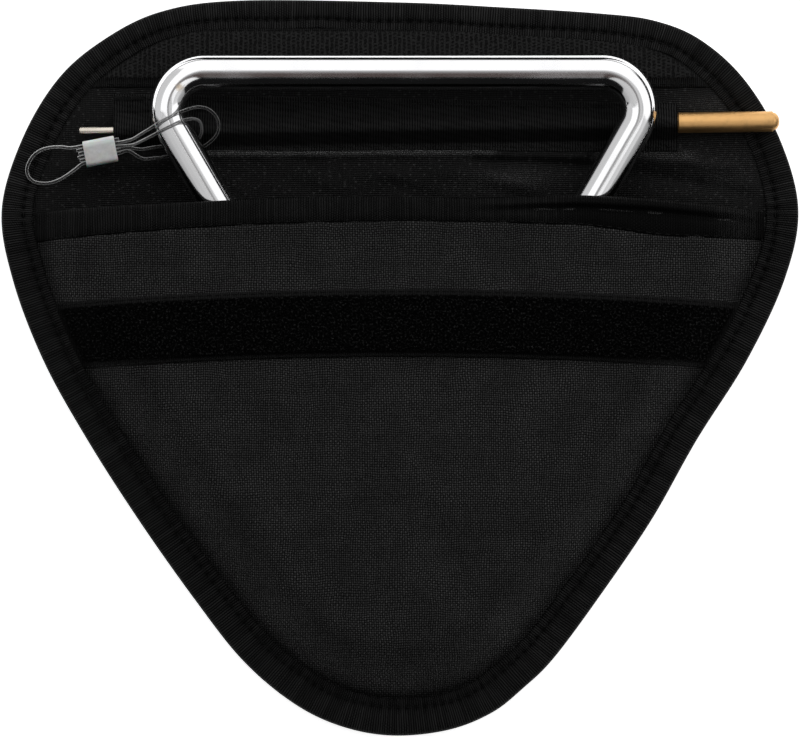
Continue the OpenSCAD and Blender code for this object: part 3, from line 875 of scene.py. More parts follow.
@known(Roughness=0.5, Specular_IOR_Level=0.08)
def hook_cloth(s):
    """Hooked tape: upright rows of small hooks on a flat ground, plain at both selvedges. Hooks and
    ribs are painted lighter where they stand high, with painted shade between them.
    """
    colour, at = settings().finish.tape, s.map()
    x, y = s.parts(at)
    fine = s.noise(at, 160.0, 1.0)
    column = s.times_plus(x, 69.0, s.times_plus(s.noise(at, 20.0), 0.6, s.times(fine, 0.7)))
    number = s.floor(column)
    row = s.maths("ADD", s.times_plus(y, 96.0, s.times(number, 0.37)), s.times(fine, 1.3))
    line = s.maths("POWER", s.wave(column, "COSINE"), 2.6)
    knot = s.maths("POWER", s.wave(row), 1.2)
    own = s.times_plus(s.cell_number(column, row), 0.75, 0.25)
    hook = s.maths("MAXIMUM", line, s.times(knot, own))
    ribs = s.use(ribs_group, at, Ribs=160.0, Threads=300.0, Wander=0.6)
    height = s.mix(s.mask(), ribs["Height"], hook)
    # painted shade between hooks and ribs, and painted lighter where they stand high
    body = s.tones(s.ranged(height, 0.05, 1.0), colour, 0.02, 2.1)
    wear = s.use(lint_group, at, Specks=80.0, Amount=0.8)
    s.cloth(body, wear["Lint"], rgba(colour, 8.0), height, 0.25 * MM)


@known(Roughness=0.7, Specular_IOR_Level=0.05)
def sleeve_webbing(s):
    """Fine webbing: narrow ribs across the sleeve, crossed by a slanting twill, with painted shade
    between the ribs and lighter backs.
    """
    colour, at = settings().finish.tape, s.map()
    ribs = s.use(ribs_group, at, Ribs=128.0, Threads=230.0, Wander=0.5)
    twill = s.use(ribs_group, s.turned_map(0.22), Ribs=250.0, Threads=120.0, Wander=0.5)
    wear = s.use(lint_group, at, Specks=80.0, Amount=0.5)
    height = s.maths("ADD", s.times(ribs["Height"], 0.7), s.times(twill["Height"], 0.3))
    # painted shade between ribs and twill, and painted lighter backs, by their height
    body = s.tones(s.ranged(height, 0.28, 0.60), colour, 0.0, 2.5)
    body = s.scaled(body, s.times_plus(wear["Fade"], 0.8, 0.6))
    s.cloth(body, wear["Lint"], rgba(colour, 6.0), height, 0.16 * MM)


@known(Roughness=0.45, Specular_IOR_Level=0.1)
def sewing_thread(s):
    """Black twisted thread with a soft shine, painted darker between its plies."""
    colour = settings().finish.tape
    ply = s.use(ribs_group, s.turned_map(0.6), Ribs=420.0, Threads=900.0, Wander=0.3)["Height"]
    # painted shade between the plies, by their height
    s.set(Base_Color=s.tones(ply, colour, 0.25, 1.1))
    s.bump(ply, 0.05 * MM)


@known(Metallic=1.0, IOR=2.9)
def plated_chrome(s):
    """Polished plating with finger marks, hair scratches and one brown stain on the left bend."""
    colour, at = settings().finish.chrome, s.place()
    marks = s.use(handling_group, at, Size=55.0, Stretch=(0.06, 1.0, 1.0))
    stain = s.add("VectorMath", {0: at, 1: (-0.0661, 0.0843, 0.0190)}, operation="DISTANCE")[1]
    ragged = s.times_plus(s.noise(at, 900.0, 3.0), 2.2 * MM, stain)
    stained = s.ranged(ragged, 3.1 * MM, 1.4 * MM, 0.0, 0.75)
    body = s.tones(marks["Smudge"], colour, 1.0, 0.95)
    dull = s.times_plus(marks["Scratch"], 0.03, s.times_plus(marks["Smudge"], 0.04, 0.10))
    s.set(Base_Color=s.mix(stained, body, (0.62, 0.47, 0.30, 1.0)),
          Roughness=s.times_plus(stained, 0.25, dull))
    s.bump(s.noise(at, 60.0, 1.0), 0.015 * MM)


@known(Metallic=1.0)
def drawn_steel(s):
    """Nickelled steel rod, drawn along its length, a little yellow."""
    marks = s.use(handling_group, s.place(), Size=80.0, Stretch=(0.03, 1.0, 1.0))
    s.set(Base_Color=s.mix(marks["Smudge"], (0.72, 0.66, 0.58, 1), (0.62, 0.57, 0.49, 1)),
          Roughness=s.times_plus(marks["Scratch"], 0.12, 0.22))
    s.bump(marks["Scratch"], 0.01 * MM)


@known(Metallic=1.0)
def turned_brass(s):
    """Turned brass: fine rings round the head, a satin polish and darker handling marks."""
    colour, at = settings().finish.brass, s.place()
    marks = s.use(handling_group, at, Size=90.0, Stretch=(1.0, 0.02, 0.02))
    tarnish = s.ranged(s.noise(at, 260.0, 4.0, 0.65), 0.45, 0.75)
    dull = s.times_plus(marks["Scratch"], 0.08, s.times_plus(marks["Smudge"], 0.06, 0.40))
    s.set(Base_Color=s.tones(tarnish, colour, 1.0, 0.82), Roughness=dull)
    s.bump(marks["Scratch"], 0.012 * MM)


@known(IOR=1.5, Transmission_Weight=0.12, Subsurface_Weight=0.35, Subsurface_Scale=1.2 * MM)
def cloudy_plastic(s):
    """Milky clip plastic with scuffs, lighter in a band along the clip's far side."""
    at = s.place()
    marks = s.use(handling_group, at, Size=400.0, Stretch=(0.15, 1.0, 1.0))
    cloud = s.noise(at, 700.0, 3.0, 0.6)
    over = s.add("VectorMath", {0: at, 1: (-0.191, 0.982, 0.0)}, operation="DOT_PRODUCT")[1]
    body = s.mix(cloud, (0.60, 0.60, 0.59, 1), (1.0, 1.0, 0.98, 1))
    s.set(Base_Color=s.mix(s.ranged(over, 0.0828, 0.0838), body, (1.0, 1.0, 0.99, 1)),
          Roughness=s.times_plus(marks["Scratch"], 0.3, 0.28))
    s.bump(cloud, 0.08 * MM)


@known(IOR=1.53)
def clear_nylon(s):
    """Clear line: it shows what is behind its middle, and a painted reflection makes it paler towards
    its sides. Painted shade darkens it towards the bar, so it is brightest left of the clip."""
    at = s.place()
    cloud = s.noise(at, 300.0)
    side = s.add("LayerWeight", {"Blend": 0.5})["Facing"]
    # painted reflection: paler towards the sides, where clear line would show bright edges
    body = s.mix(s.ranged(side, 0.08, 0.45), grey(0.08), grey(0.78))
    # painted shade: darker from left of the clip towards the bar, as in the bar's shadow
    painted_shade_to_bar = s.ranged(s.parts(at)[0], -0.096, -0.062, 1.0, 0.30)
    s.set(Base_Color=s.scaled(body, painted_shade_to_bar), Alpha=s.ranged(side, 0.05, 0.50, 0.25, 0.95),
          Roughness=s.times_plus(cloud, 0.06, 0.10))
    s.bump(cloud, 0.003 * MM)


def box_light(name, bright, falloff, colour=(1.0, 1.0, 1.0)):
    """Light of one soft box, even in its middle and see-through towards its edges."""
    material, s = new_material(name, Base_Color=(0, 0, 0, 1), Specular_IOR_Level=0.0,
                               Emission_Color=(*colour, 1), Emission_Strength=bright)
    shares = dict(zip(("Low", "High", "Side", "Least"), falloff))
    s.set(Alpha=s.use(falloff_group, s.map(), **shares)["Light"])
    return material


@known(Roughness=0.9, Specular_IOR_Level=0.0)
def black_card(s):
    """Black card, faintly uneven."""
    s.set(Base_Color=s.mix(s.noise(s.map(), 4.0), grey(0.002), grey(0.006)))


@known(Roughness=0.9, Specular_IOR_Level=0.1, Emission_Color=(1, 1, 1, 1), Emission_Strength=0.90)
def floor_paper(s):
    """Pale paper, faintly uneven."""
    s.set(Base_Color=s.mix(s.noise(s.place(), 60.0, 4.0), grey(0.90), grey(0.94)))


# ---------------------------------------------------------------- operators


class TRIANGLESET_OT_stage(bpy.types.Operator):
    """Camera straight above, pale floor and soft boxes above, behind and at both sides"""

    bl_idname = "triangle_set.stage"
    bl_label = "Camera, Floor and Light"
    bl_options = {"REGISTER", "UNDO"}

    def execute(self, context):
        scene = bpy.context.scene
        scene.view_settings.view_transform = "Standard"
        camera = bpy.data.cameras.new("camera")
        camera.sensor_width = 36.0
        camera.lens = 359.0
        scene.camera = new_object("camera", camera)
        scene.camera.location = CAMERA_AT
        self.floor()
        self.lights()
        self.cards()
        world = scene.world or bpy.data.worlds.new("world")
        scene.world = world
        world.use_nodes = True
        s = Nodes(world.node_tree)
        seen = s.add("LightPath")["Is Camera Ray"]
        s.fill(world.node_tree.nodes["Background"],
               {"Color": s.mix(seen, (0.006, 0.006, 0.0062, 1), grey(0.80))})
        return {"FINISHED"}

    def floor(self):
        """Square of pale paper under the part."""
        corners = np.array([[-1, -1], [1, -1], [1, 1], [-1, 1]]) * STAGE_REACH
        mesh = bpy.data.meshes.new("floor")
        mesh.from_pydata([(x, y, -0.2 * MM) for x, y in corners.tolist()], [], [(0, 1, 2, 3)])
        floor = new_object("floor", mesh)
        mesh.materials.append(floor_paper())

    def lights(self):
        """Soft boxes on the far side and at both sides. Each faces the part from a bearing and a
        height and dies away at its edges."""
        # Bearing, height above the floor, width, depth, brightness, falloff: low, high, side, least
        boxes = [
            ("box_behind", 90, 15, 3.4, 0.78, 1.15, (0.32, 0.01, 0.20, 0.0)),
            ("box_above", 90, 55, 3.2, 1.76, 1.15, (0.01, 0.24, 0.20, 0.0)),
            ("wing_right", 30, 43, 2.4, 1.66, 1.15, (0.04, 0.16, 0.12, 0.0)),
            ("wing_left", 155, 24, 2.2, 1.30, 0.62, (0.03, 0.10, 0.12, 0.0)),
            ("side_right", 335, 40, 0.9, 2.30, 0.62, (0.90, 0.10, 0.10, 0.45)),
            ("side_left", 205, 40, 0.9, 2.30, 0.56, (0.90, 0.10, 0.10, 0.70)),
        ]
        for name, bearing, height, width, depth, bright, falloff in boxes:
            turn, rise = math.radians(bearing), math.radians(height)
            away = np.array([math.cos(turn) * math.cos(rise), math.sin(turn) * math.cos(rise),
                             math.sin(rise)])
            across = np.array([-math.sin(turn), math.cos(turn), 0])
            up = np.cross(away, across)
            corners = [[away * BOX_AWAY + across * width * u + up * depth * v for v in (-0.5, 0.5)]
                       for u in (-0.5, 0.5)]
            box = self.panel(name, np.array(corners), box_light(name, bright, falloff))
            box.visible_diffuse = not name.startswith("side")
        self.overhead()

    def overhead(self):
        """Level panels right above, given by their reach as shares of their height. They are there
        for the metal's reflections and give no light to cloth."""
        # Reach in x and in y, height, brightness, falloff: low, high, side, least
        panels = [
            ("over_far_left", (-1.30, -0.078), (0.030, 0.95), 1.45, 1.15, (0.03, 0.20, 0.03, 0.0)),
            ("over_near_left", (-1.30, -0.078), (-0.80, 0.040), 1.50, 0.60, (0.40, 0.03, 0.03, 0.80)),
            ("over_far_right", (0.078, 0.40), (0.010, 0.26), 1.42, 0.60, (0.10, 0.06, 0.06, 0.0)),
            ("over_near_right", (0.078, 1.30), (-0.80, 0.012), 1.50, 0.98, (0.40, 0.03, 0.03, 0.75)),
            ("crown", (-0.35, 0.35), (-0.22, 0.50), 2.20, 0.70, (0.92, 0.05, 0.08, 0.03)),
            ("ceiling", (-0.35, 0.35), (-0.72, 0.06), 2.30, 0.060, (0.28, 0.05, 0.08, 0.0)),
        ]
        for name, (x0, x1), (y0, y1), high, bright, falloff in panels:
            corners = np.array([[(x, y, 1.0) for y in (y0, y1)] for x in (x0, x1)]) * high
            colour = (1.0, 0.72, 0.66) if name == "ceiling" else (1.0, 1.0, 1.0)
            box = self.panel(name, corners, box_light(name, bright, falloff, colour))
            box.visible_diffuse = False

    def panel(self, name, corners, material):
        """Flat panel between four corners that the camera doesn't see."""
        flat, quads, uv = grid(corners, np.array([0, UV_UNIT]), np.array([0, UV_UNIT]))
        mesh = bpy.data.meshes.new(name)
        mesh.from_pydata(flat.tolist(), [], quads.tolist())
        mesh.uv_layers.new(name="Cloth").data.foreach_set("uv", uv.ravel())
        mesh.materials.append(material)
        made = new_object(name, mesh)
        made.visible_camera = False
        return made

    def cards(self):
        """Black cards on the floor round the paper. Only the plated metal reflects them."""
        areas = [("card_far", (-0.10, 0.137, 0.10, STAGE_REACH)),
                 ("card_left", (-STAGE_REACH, -0.30, -0.128, 0.085)),
                 ("card_right", (0.128, -0.30, STAGE_REACH, 0.085))]
        for name, (x0, y0, x1, y1) in areas:
            corners = np.array([[(x, y, 0.5 * MM) for y in (y0, y1)] for x in (x0, x1)])
            card = self.panel(name, corners, black_card())
            card.visible_diffuse = card.visible_shadow = card.visible_transmission = False


def half_top(bend):
    """Half the length of the top bar's middle line, out to the corner that its bend rounds."""
    return (BAR_HIGH.x - BAR_LOW.x) / 2 - BAR_R + bend * (ROOT3 - 1)


class TRIANGLESET_OT_line(bpy.types.Operator):
    """Clip and the three lengths of nylon line that pass through it"""

    bl_idname = "triangle_set.line"
    bl_label = "Hanging Line and Clip"
    bl_options = {"REGISTER", "UNDO"}

    # Lengths of the clip and points of the routes are in mm, from the middle of the left bend
    clip_at = (-31.6, -12.5, -3.8)
    clip_turn = math.radians(11)
    clip_size = (9.6, 7.9, 2.8)
    clip_wall = 0.7
    lane_pitch = 1.05

    def lane(self, number, *shares):
        """Points on a lane in and beside the clip, at shares of half its length from its middle."""
        c, s = math.cos(self.clip_turn), math.sin(self.clip_turn)
        x, y, z = self.clip_at
        across = (2.5 - number) * self.lane_pitch
        ways = [share * self.clip_size[0] / 2 for share in shares]
        return [[x + along * c - across * s, y + along * s + across * c, z] for along in ways]

    def execute(self, context):
        metal = settings().metal
        bend_at = np.array([BAR_X - half_top(metal.bend_r) + metal.bend_r * ROOT3,
                            BAR_Y - metal.bend_r, BAR_Z])
        lane = self.lane
        hand = (lane(0, 1.3, 0.83, 0, -0.83, -1.25)
                + [[-40.7, -11.4, -4.7], [-43.7, -11.1, -5.8], [-46.7, -11.2, -7.3],
                   [-49.3, -11.8, -8.7], [-51.6, -13.2, -9.8], [-53.2, -15.3, -10.4],
                   [-54, -17.6, -10.5], [-53.6, -19.7, -10.5], [-52.1, -21.3, -10.5],
                   [-49.7, -21.9, -10.4], [-46.9, -21.8, -9.9], [-44.2, -20.9, -8.7],
                   [-41.8, -19.6, -7.1], [-39.6, -18.1, -5.4]]
                + lane(5, -1.25, -0.83, 0, 0.83))
        outer = (lane(1, -1.46, -0.83, 0, 0.83, 1.15)
                 + [[-22.2, -9, -1.1], [-19, -7.3, 1.8], [-16, -5.6, 4.5], [-13.4, -4, 6.1],
                    [-10.5, -2.5, 6.6], [-7.5, -1.1, 6.3], [-4.7, 0, 5.3], [-2, 0.6, 4.1],
                    [0.6, 0.2, 2.8], [2.7, -1.3, 1.2], [3.9, -3.4, -0.5], [4, -5.8, -2.2],
                    [3, -8, -3.8], [1, -9.9, -5.3], [-1.7, -11.5, -6.4], [-5, -12.5, -6.5],
                    [-8.4, -13.2, -6.4], [-11.8, -14, -5.8], [-15.4, -14.5, -5.2],
                    [-19, -14.6, -4.6]]
                 + lane(4, 1.77, 1.15, 0.83, 0, -0.83, -1.38))
        inner = (lane(2, -1.38, -0.83, 0, 0.83, 1.15)
                 + [[-22, -10.6, -1.3], [-18.8, -9.4, 1.6], [-15.8, -8, 4.3], [-13.1, -6.6, 6.1],
                    [-10.2, -5.2, 6.6], [-7.3, -3.8, 6.1], [-4.7, -3, 4.7], [-2.7, -3, 2.6],
                    [-1.5, -3.8, 0.5], [-1.1, -5.2, -1.6], [-1.2, -6.9, -3.5], [-2.1, -8.6, -5.2],
                    [-4, -9.8, -6.4], [-6.7, -10.3, -6.5], [-9.8, -10.6, -6.2], [-13, -10.9, -5.7],
                    [-16.2, -11.3, -5.2], [-19.4, -11.8, -4.7]]
                 + lane(3, 1.77, 1.15, 0.83, 0, -0.83, -1.46))
        clip = self.clip(bend_at)
        for name, route, node in [("hand_line", hand, "hand_loop"),
                                  ("outer_line", outer, "bar_loop_outer"),
                                  ("inner_line", inner, "bar_loop_inner")]:
            path = open_curve(np.array(route) * MM, 8) + bend_at
            radius = np.full(len(path), metal.line_d / 2)
            radius[[0, -1]] = 0
            radius[[1, -2]] *= 0.9
            path[1] = path[0] * 0.94 + path[2] * 0.06
            path[-2] = path[-1] * 0.94 + path[-3] * 0.06
            made = piece(name, [tube(path, radius, 14)], clear_nylon(), "line_holder")
            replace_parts(made, node)
        return {"FINISHED"}

    def clip(self, bend_at):
        """Flat tube with round sides, its outline drawn in by the depth of each station's rim."""
        length, width, thick = (v * MM for v in self.clip_size)
        wall, round_off = self.clip_wall * MM, 0.18 * MM
        reach = length / 2
        inner = np.linspace(reach - round_off, -reach + round_off, 9)
        stations = ([(-reach, round_off)] + [(-x, 0) for x in inner]
                    + [(reach, round_off), (reach, wall - round_off)]
                    + [(x, wall) for x in inner] + [(-reach, wall - round_off)])
        along, depth = np.array(stations).T
        turn = np.linspace(0, 2 * np.pi, 64, endpoint=False)
        side = (width - thick) / 2
        half = thick / 2 - depth[:, None]
        y = (np.sign(np.cos(turn)) * np.minimum(1, np.abs(np.cos(turn)) * 4) * side
             + half * np.cos(turn))
        z = half * np.sin(turn)
        x = np.broadcast_to(along[:, None], y.shape)
        c, s = math.cos(self.clip_turn), math.sin(self.clip_turn)
        points = np.stack([x * c - y * s, x * s + y * c, z], -1)
        points = points + bend_at + np.array(self.clip_at) * MM
        made = piece("clip_shell", [grid(points, np.append(along, 0), np.append(turn, 0) * MM,
                                         wrap_u=True, wrap_v=True)],
                     cloudy_plastic(), "line_holder")
        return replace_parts(made, "line_clip")


class TRIANGLESET_OT_triangle(bpy.types.Operator):
    """Chromed bar with two bends, open at its lower corner"""

    bl_idname = "triangle_set.triangle"
    bl_label = "Triangle"
    bl_options = {"REGISTER", "UNDO"}

    def execute(self, context):
        bend = settings().metal.bend_r
        corner = half_top(bend)
        tangent = bend * ROOT3
        leg = 2 * corner - tangent - settings().metal.end_gap - 2 * BAR_R * math.sin(math.pi / 3)
        turn = np.radians(np.linspace(210, 90, 49))
        arc = np.stack([-corner + tangent + bend * np.cos(turn), -bend + bend * np.sin(turn)], -1)
        foot = arc[0] + leg * np.array([0.5, -ROOT3 / 2])
        bevel = 0.5 * MM
        way = np.array([0, 0.02 * MM, bevel * 0.35, bevel, *np.linspace(0.004, leg, 60)[:-1]])
        down = foot + way[:, None] / leg * (arc[0] - foot)
        half = np.vstack([down, arc])
        middle = np.linspace(half[-1, 0], 0, 40)[1:]
        half = np.vstack([half, np.stack([middle, np.zeros(39)], -1)])
        line = np.vstack([half, (half * [-1, 1])[-2::-1]])
        path = np.column_stack([line, np.zeros(len(line))]) + [BAR_X, BAR_Y, BAR_Z]
        radius = np.full(len(path), BAR_R)
        ends = np.array([0, BAR_R - bevel, BAR_R - bevel * 0.6, BAR_R])
        radius[:4], radius[-4:] = ends, ends[::-1]
        made = piece("chromed_bar", [tube(path, radius, 64)], plated_chrome(), "triangle")
        sharp_by_angle(made, 0.6)
        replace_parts(made, "triangle_bar")
        return {"FINISHED"}


class TRIANGLESET_OT_beater(bpy.types.Operator):
    """Thin steel shaft and turned brass head"""

    bl_idname = "triangle_set.beater"
    bl_label = "Beater"
    bl_options = {"REGISTER", "UNDO"}

    def turned(self, name, profile, sides, material, slot, node):
        """Round piece on the beater's line: each station of its profile is a place and a radius."""
        along, radius = np.array(profile).T
        turn = np.linspace(0, 2 * np.pi, sides, endpoint=False)
        local = np.stack([np.broadcast_to(along[:, None], (len(along), sides)),
                          radius[:, None] * np.cos(turn), radius[:, None] * np.sin(turn)], -1)
        around = np.append(turn, 2 * np.pi) * np.max(radius)
        part = grid(sleeve_frame(local), np.append(along, 0), around, wrap_v=True)
        made = piece(name, [part], material, "beater")
        sharp_by_angle(made, 0.5)
        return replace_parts(made, node)

    def execute(self, context):
        strips, metal = settings().strips, settings().metal
        r, tail = metal.shaft_d / 2, -metal.tail_l
        head = strips.sleeve_l + 0.3 * MM
        seat = head + 14 * MM
        bevel = 0.15 * MM
        rod = np.linspace(tail + bevel, seat - bevel, 80)
        self.turned("steel_rod", [(tail, 0), (tail, r - bevel)] + [(x, r) for x in rod]
                    + [(seat, r - bevel), (seat, 0)], 40, drawn_steel(), "steel", "beater_shaft")
        big, length, dome = metal.head_d / 2, metal.head_l, 2 * MM
        chamfer = big / 8
        shoulder = head + length - dome
        tilt = np.radians(np.linspace(0, 90, 14))
        profile = ([(seat + 0.02 * MM, 0), (seat + 0.02 * MM, r + 0.01 * MM), (head, r + 0.01 * MM),
                    (head, big - chamfer), (head + chamfer, big)]
                   + [(x, big) for x in np.linspace(head + chamfer, shoulder - 0.1 * MM, 40)[1:]]
                   + [(shoulder, big - 0.1 * MM)]
                   + [(shoulder + dome * math.sin(a), (big - chamfer) * math.cos(a)) for a in tilt])
        self.turned("brass_tip", profile, 64, turned_brass(), "brass", "beater_head")
        return {"FINISHED"}


class TRIANGLESET_OT_back(bpy.types.Operator):
    """Back of the pouch: one padded panel from tip to flap"""

    bl_idname = "triangle_set.back"
    bl_label = "Padded Back and Flap"
    bl_options = {"REGISTER", "UNDO"}

    def execute(self, context):
        ring, inward, _ = outline_ring(600)
        rim = ring + inward * 0.5 * MM
        pole = np.array([0, 0.010])

        def fan(shares, height):
            plan = pole + (rim - pole)[None] * np.asarray(shares)[:, None, None]
            return at_height(plan, height(plan))

        shares = np.linspace(0, 1, 112) ** 0.9
        top = fan(shares, lining_height)
        bottom = fan([0, 0.15, 0.4, 0.7, 0.9, 0.97, 1], lambda plan: (
            TAPE_T + 0.15 * MM * smoothstep(edge_distance(plan) / MM - 11)))
        wall = np.stack([top[-1], bottom[-1]])
        parts = [grid(part, wrap_v=True) for part in (top, bottom, wall)]
        # the mask is the share of painted glints on the lining's folds
        made = piece("padded_back", parts, knitted_lining(), None,
                     for_first(parts, painted_glint_share(top[..., :2])))
        face_down(made, woven_cover(), -0.3)
        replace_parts(made, "back_cover", "back_padding", "back_lining",
                    "flap_cover", "flap_padding", "flap_lining")
        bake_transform(made)
        return {"FINISHED"}


class TRIANGLESET_OT_edge_tape(bpy.types.Operator):
    """Ribbed tape folded round the whole edge, with its row of stitches"""

    bl_idname = "triangle_set.edge_tape"
    bl_label = "Edge Tape"
    bl_options = {"REGISTER", "UNDO"}

    def execute(self, context):
        ring, inward, way = outline_ring(settings().finish.stations)
        pitch = way[-1] / round(way[-1] / (3.1 * MM))
        at = way[:-1]
        draw = np.random.default_rng(21)
        drift = draw.normal(0, 1, 60)
        slow = np.interp(at, np.linspace(0, way[-1], 61), np.append(drift, drift[0]))
        width = tape_width(ring[:, 1]) + 0.18 * MM * slow
        top = RIM_TOP + TAPE_T + (BACK_TOP - RIM_TOP) * smoothstep(
            (ring[:, 1] - FOLD_Y + 5 * MM) / (10 * MM))
        uneven = 0.55 + 0.45 * np.interp(at, np.linspace(0, way[-1], 301), draw.uniform(0, 1, 301))
        pulled = (np.cos(2 * np.pi * at / pitch) * uneven)[:, None]

        nose, leg = 1.3 * MM, 17
        turn = np.linspace(-np.pi / 2, np.pi / 2, 9)
        share = np.linspace(0, 1, leg)[None]
        across = nose + (width[:, None] - nose) * share
        groove = width[:, None] - SEAM_INSET
        full = np.clip((across - 0.2 * MM) / (groove - 0.2 * MM), 0, 1)
        bulge = (0.55 * np.sin(np.pi * full ** 1.15) ** 0.9
                 - (0.42 + 0.16 * pulled) * np.exp(-((across - groove) / (0.55 * MM)) ** 2)
                 - 0.16 * pulled * np.exp(-np.abs(across - groove - 0.3 * MM) / (1.9 * MM))) * MM
        upper = np.stack([across, top[:, None] + bulge], -1)
        bow = np.stack([nose - nose * np.cos(turn)[None] + 0 * top[:, None],
                        (top[:, None] + bulge[:, :1]) / 2 * (1 + np.sin(turn)[None])], -1)
        lower = np.stack([across[:, ::-1], 0 * across], -1)
        outer = np.concatenate([lower[:, :-1], bow, upper[:, 1:]], 1)
        loop = with_inside(outer, TAPE_T * 0.95)
        plan = ring[:, None] + inward[:, None] * (loop[..., :1] - 0.15 * MM)
        points = np.concatenate([plan, loop[..., 1:]], -1)
        length = way_along(loop[0])
        # painted shade in the stitch groove and its puckers, passed to the tape's material as its
        # mask
        gap = loop[..., 0] - groove
        line = np.exp(-(gap / (0.42 * MM)) ** 2) * (0.62 + 0.38 * pulled)
        wider = np.exp(-(gap / (1.3 * MM)) ** 2) * np.clip(pulled, 0, 1)
        seam = np.clip(line + 0.45 * wider, 0, 1) * (np.arange(loop.shape[1]) < outer.shape[1])
        made = piece("edge_binding",
                     [grid(points, way, np.append(length, length[-1] + TAPE_T), True, True)],
                     ribbed_tape(), None, seam)
        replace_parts(made, "pocket_edge_tape", "flap_edge_tape")
        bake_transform(made)
        plan = ring + inward * groove
        upper = at_height(plan, top - 0.30 * MM)
        under = at_height(plan, 0 * top)
        rows = [stitches(np.vstack([upper, upper[:1]]), pitch, pitch * 0.86, 0.20 * MM),
                stitches(np.vstack([under, under[:1]])[::-1], pitch, pitch * 0.86, 0.16 * MM,
                         0.02 * MM, facing=-1.0)]
        thread = piece("edge_stitching", rows, sewing_thread(), None)
        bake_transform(thread)
        return {"FINISHED"}


class TRIANGLESET_OT_front(bpy.types.Operator):
    """Padded front of the pocket"""

    bl_idname = "triangle_set.front"
    bl_label = "Padded Front"
    bl_options = {"REGISTER", "UNDO"}

    def execute(self, context):
        pouch = settings().pouch
        ring, inward, _ = outline_ring(3000)
        rim = ring + inward * 0.6 * MM
        inside = rim[:, 1] < band_y(rim[:, 0], pouch.mouth_y)
        first = np.flatnonzero(inside & ~np.roll(inside, 1))[0]
        low = even_steps(np.roll(rim, -first, axis=0)[:inside.sum()], 330)
        across = np.linspace(low[0, 0], low[-1, 0], 330)
        mouth = np.stack([across, band_y(across, pouch.mouth_y - 0.5 * MM)], -1)
        low[[0, -1]] = mouth[[0, -1]]
        w = np.linspace(0, 1, 112)[:, None, None]
        w = 0.5 * w + 0.25 * (1 - np.cos(np.pi * w))
        plan = mouth[None] * (1 - w) + low[None] * w
        height, thick = front_shape(plan)
        layers = slab(at_height(plan, height), at_height(plan, height - thick))
        made = piece("padded_front", layers, woven_cover(), "pocket")
        face_down(made, knitted_lining(), -0.1)
        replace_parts(made, "front_cover", "front_padding", "front_lining")
        return {"FINISHED"}


class TRIANGLESET_OT_mouth(bpy.types.Operator):
    """Ribbed tape folded over the pocket's mouth, with its stitches"""

    bl_idname = "triangle_set.mouth"
    bl_label = "Mouth Tape"
    bl_options = {"REGISTER", "UNDO"}

    def execute(self, context):
        pouch = settings().pouch
        count = 300
        rim = tape_rim(0.1 * MM)
        near = np.abs(rim[:, 1] - band_y(rim[:, 0], pouch.mouth_y - 4 * MM)) < 1.5 * MM
        left, right = rim[near & (rim[:, 0] < 0), 0].mean(), rim[near & (rim[:, 0] > 0), 0].mean()
        x = np.linspace(left, right, count)
        high, low = mouth_band(x)
        rolled = smoothstep((x - 15 * MM) / (30 * MM)) * smoothstep((0.112 - x) / (12 * MM))

        face_rows = 15
        share = np.linspace(0, 1, face_rows)
        y = high[:, None] + (low - high)[:, None] * share
        plan = np.stack([np.broadcast_to(x[:, None], y.shape), y], -1)
        height, thick = front_shape(plan)
        below = high[:, None] - y
        bulge = (0.40 + 0.25 * np.sin(np.pi * share) ** 0.8
                 - 0.34 * smoothstep((share - 0.72) / 0.28)
                 + rolled[:, None] * (1.1 * np.exp(-((below - 1.0 * MM) / (0.95 * MM)) ** 2)
                                      - 0.7 * np.exp(-((below - 3.1 * MM) / (0.8 * MM)) ** 2))
                 + 0.10 * ripple(plan, 0.012, 31)) * MM
        face = height + bulge
        back = (height - thick - 0.42 * MM)[:, ::-1]
        turn = np.linspace(np.pi / 2, -np.pi / 2, 9)[1:-1]
        middle = (face[:, :1] + back[:, -1:]) / 2
        half = (face[:, :1] - back[:, -1:]) / 2
        nose_y = high[:, None] + 0.55 * half * np.cos(turn)
        nose_z = middle + half * np.sin(turn)
        outer_y = np.concatenate([y[:, ::-1], nose_y, y], 1)
        outer_z = np.concatenate([face[:, ::-1], nose_z, back[:, ::-1]], 1)
        loop = with_inside(np.stack([outer_y, outer_z], -1), 0.36 * MM)
        level = np.broadcast_to(x[:, None, None], loop.shape[:2] + (1,))
        points = np.concatenate([level, loop], -1)
        # painted shade in the mask: the face under the rolled lip on the right, and a dark line along
        # the lower edge
        seam = np.zeros(loop.shape[:2])
        dark = 0.9 * smoothstep((x - 0.038) / 0.02) * smoothstep((0.104 - x) / 0.02)
        seam[:, :face_rows] = np.maximum(dark[:, None], smoothstep((share - 0.90) / 0.06))[:, ::-1]
        seam = np.concatenate([seam[:1], seam, seam[-1:]])
        ends = [np.broadcast_to(points[k].mean(0), points[k].shape)[None] for k in (0, -1)]
        points = np.concatenate([ends[0], points, ends[1]])
        length = way_along(loop[count // 2])
        along = np.concatenate([[x[0]], x, [x[-1], x[-1]]])
        made = piece("mouth_binding",
                     [grid(points, along, np.append(length, length[-1] + 0.4 * MM), False, True)],
                     mouth_ribs(), "pocket", seam)
        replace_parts(made, "mouth_tape")
        line = np.stack([x, low + 0.55 * MM], -1)[4:-4]
        path = at_height(line, front_shape(line)[0] + 0.02 * MM)
        rows = [stitches(path, 2.9 * MM, 2.4 * MM, 0.17 * MM)]
        piece("mouth_stitching", rows, sewing_thread(), "pocket")
        return {"FINISHED"}


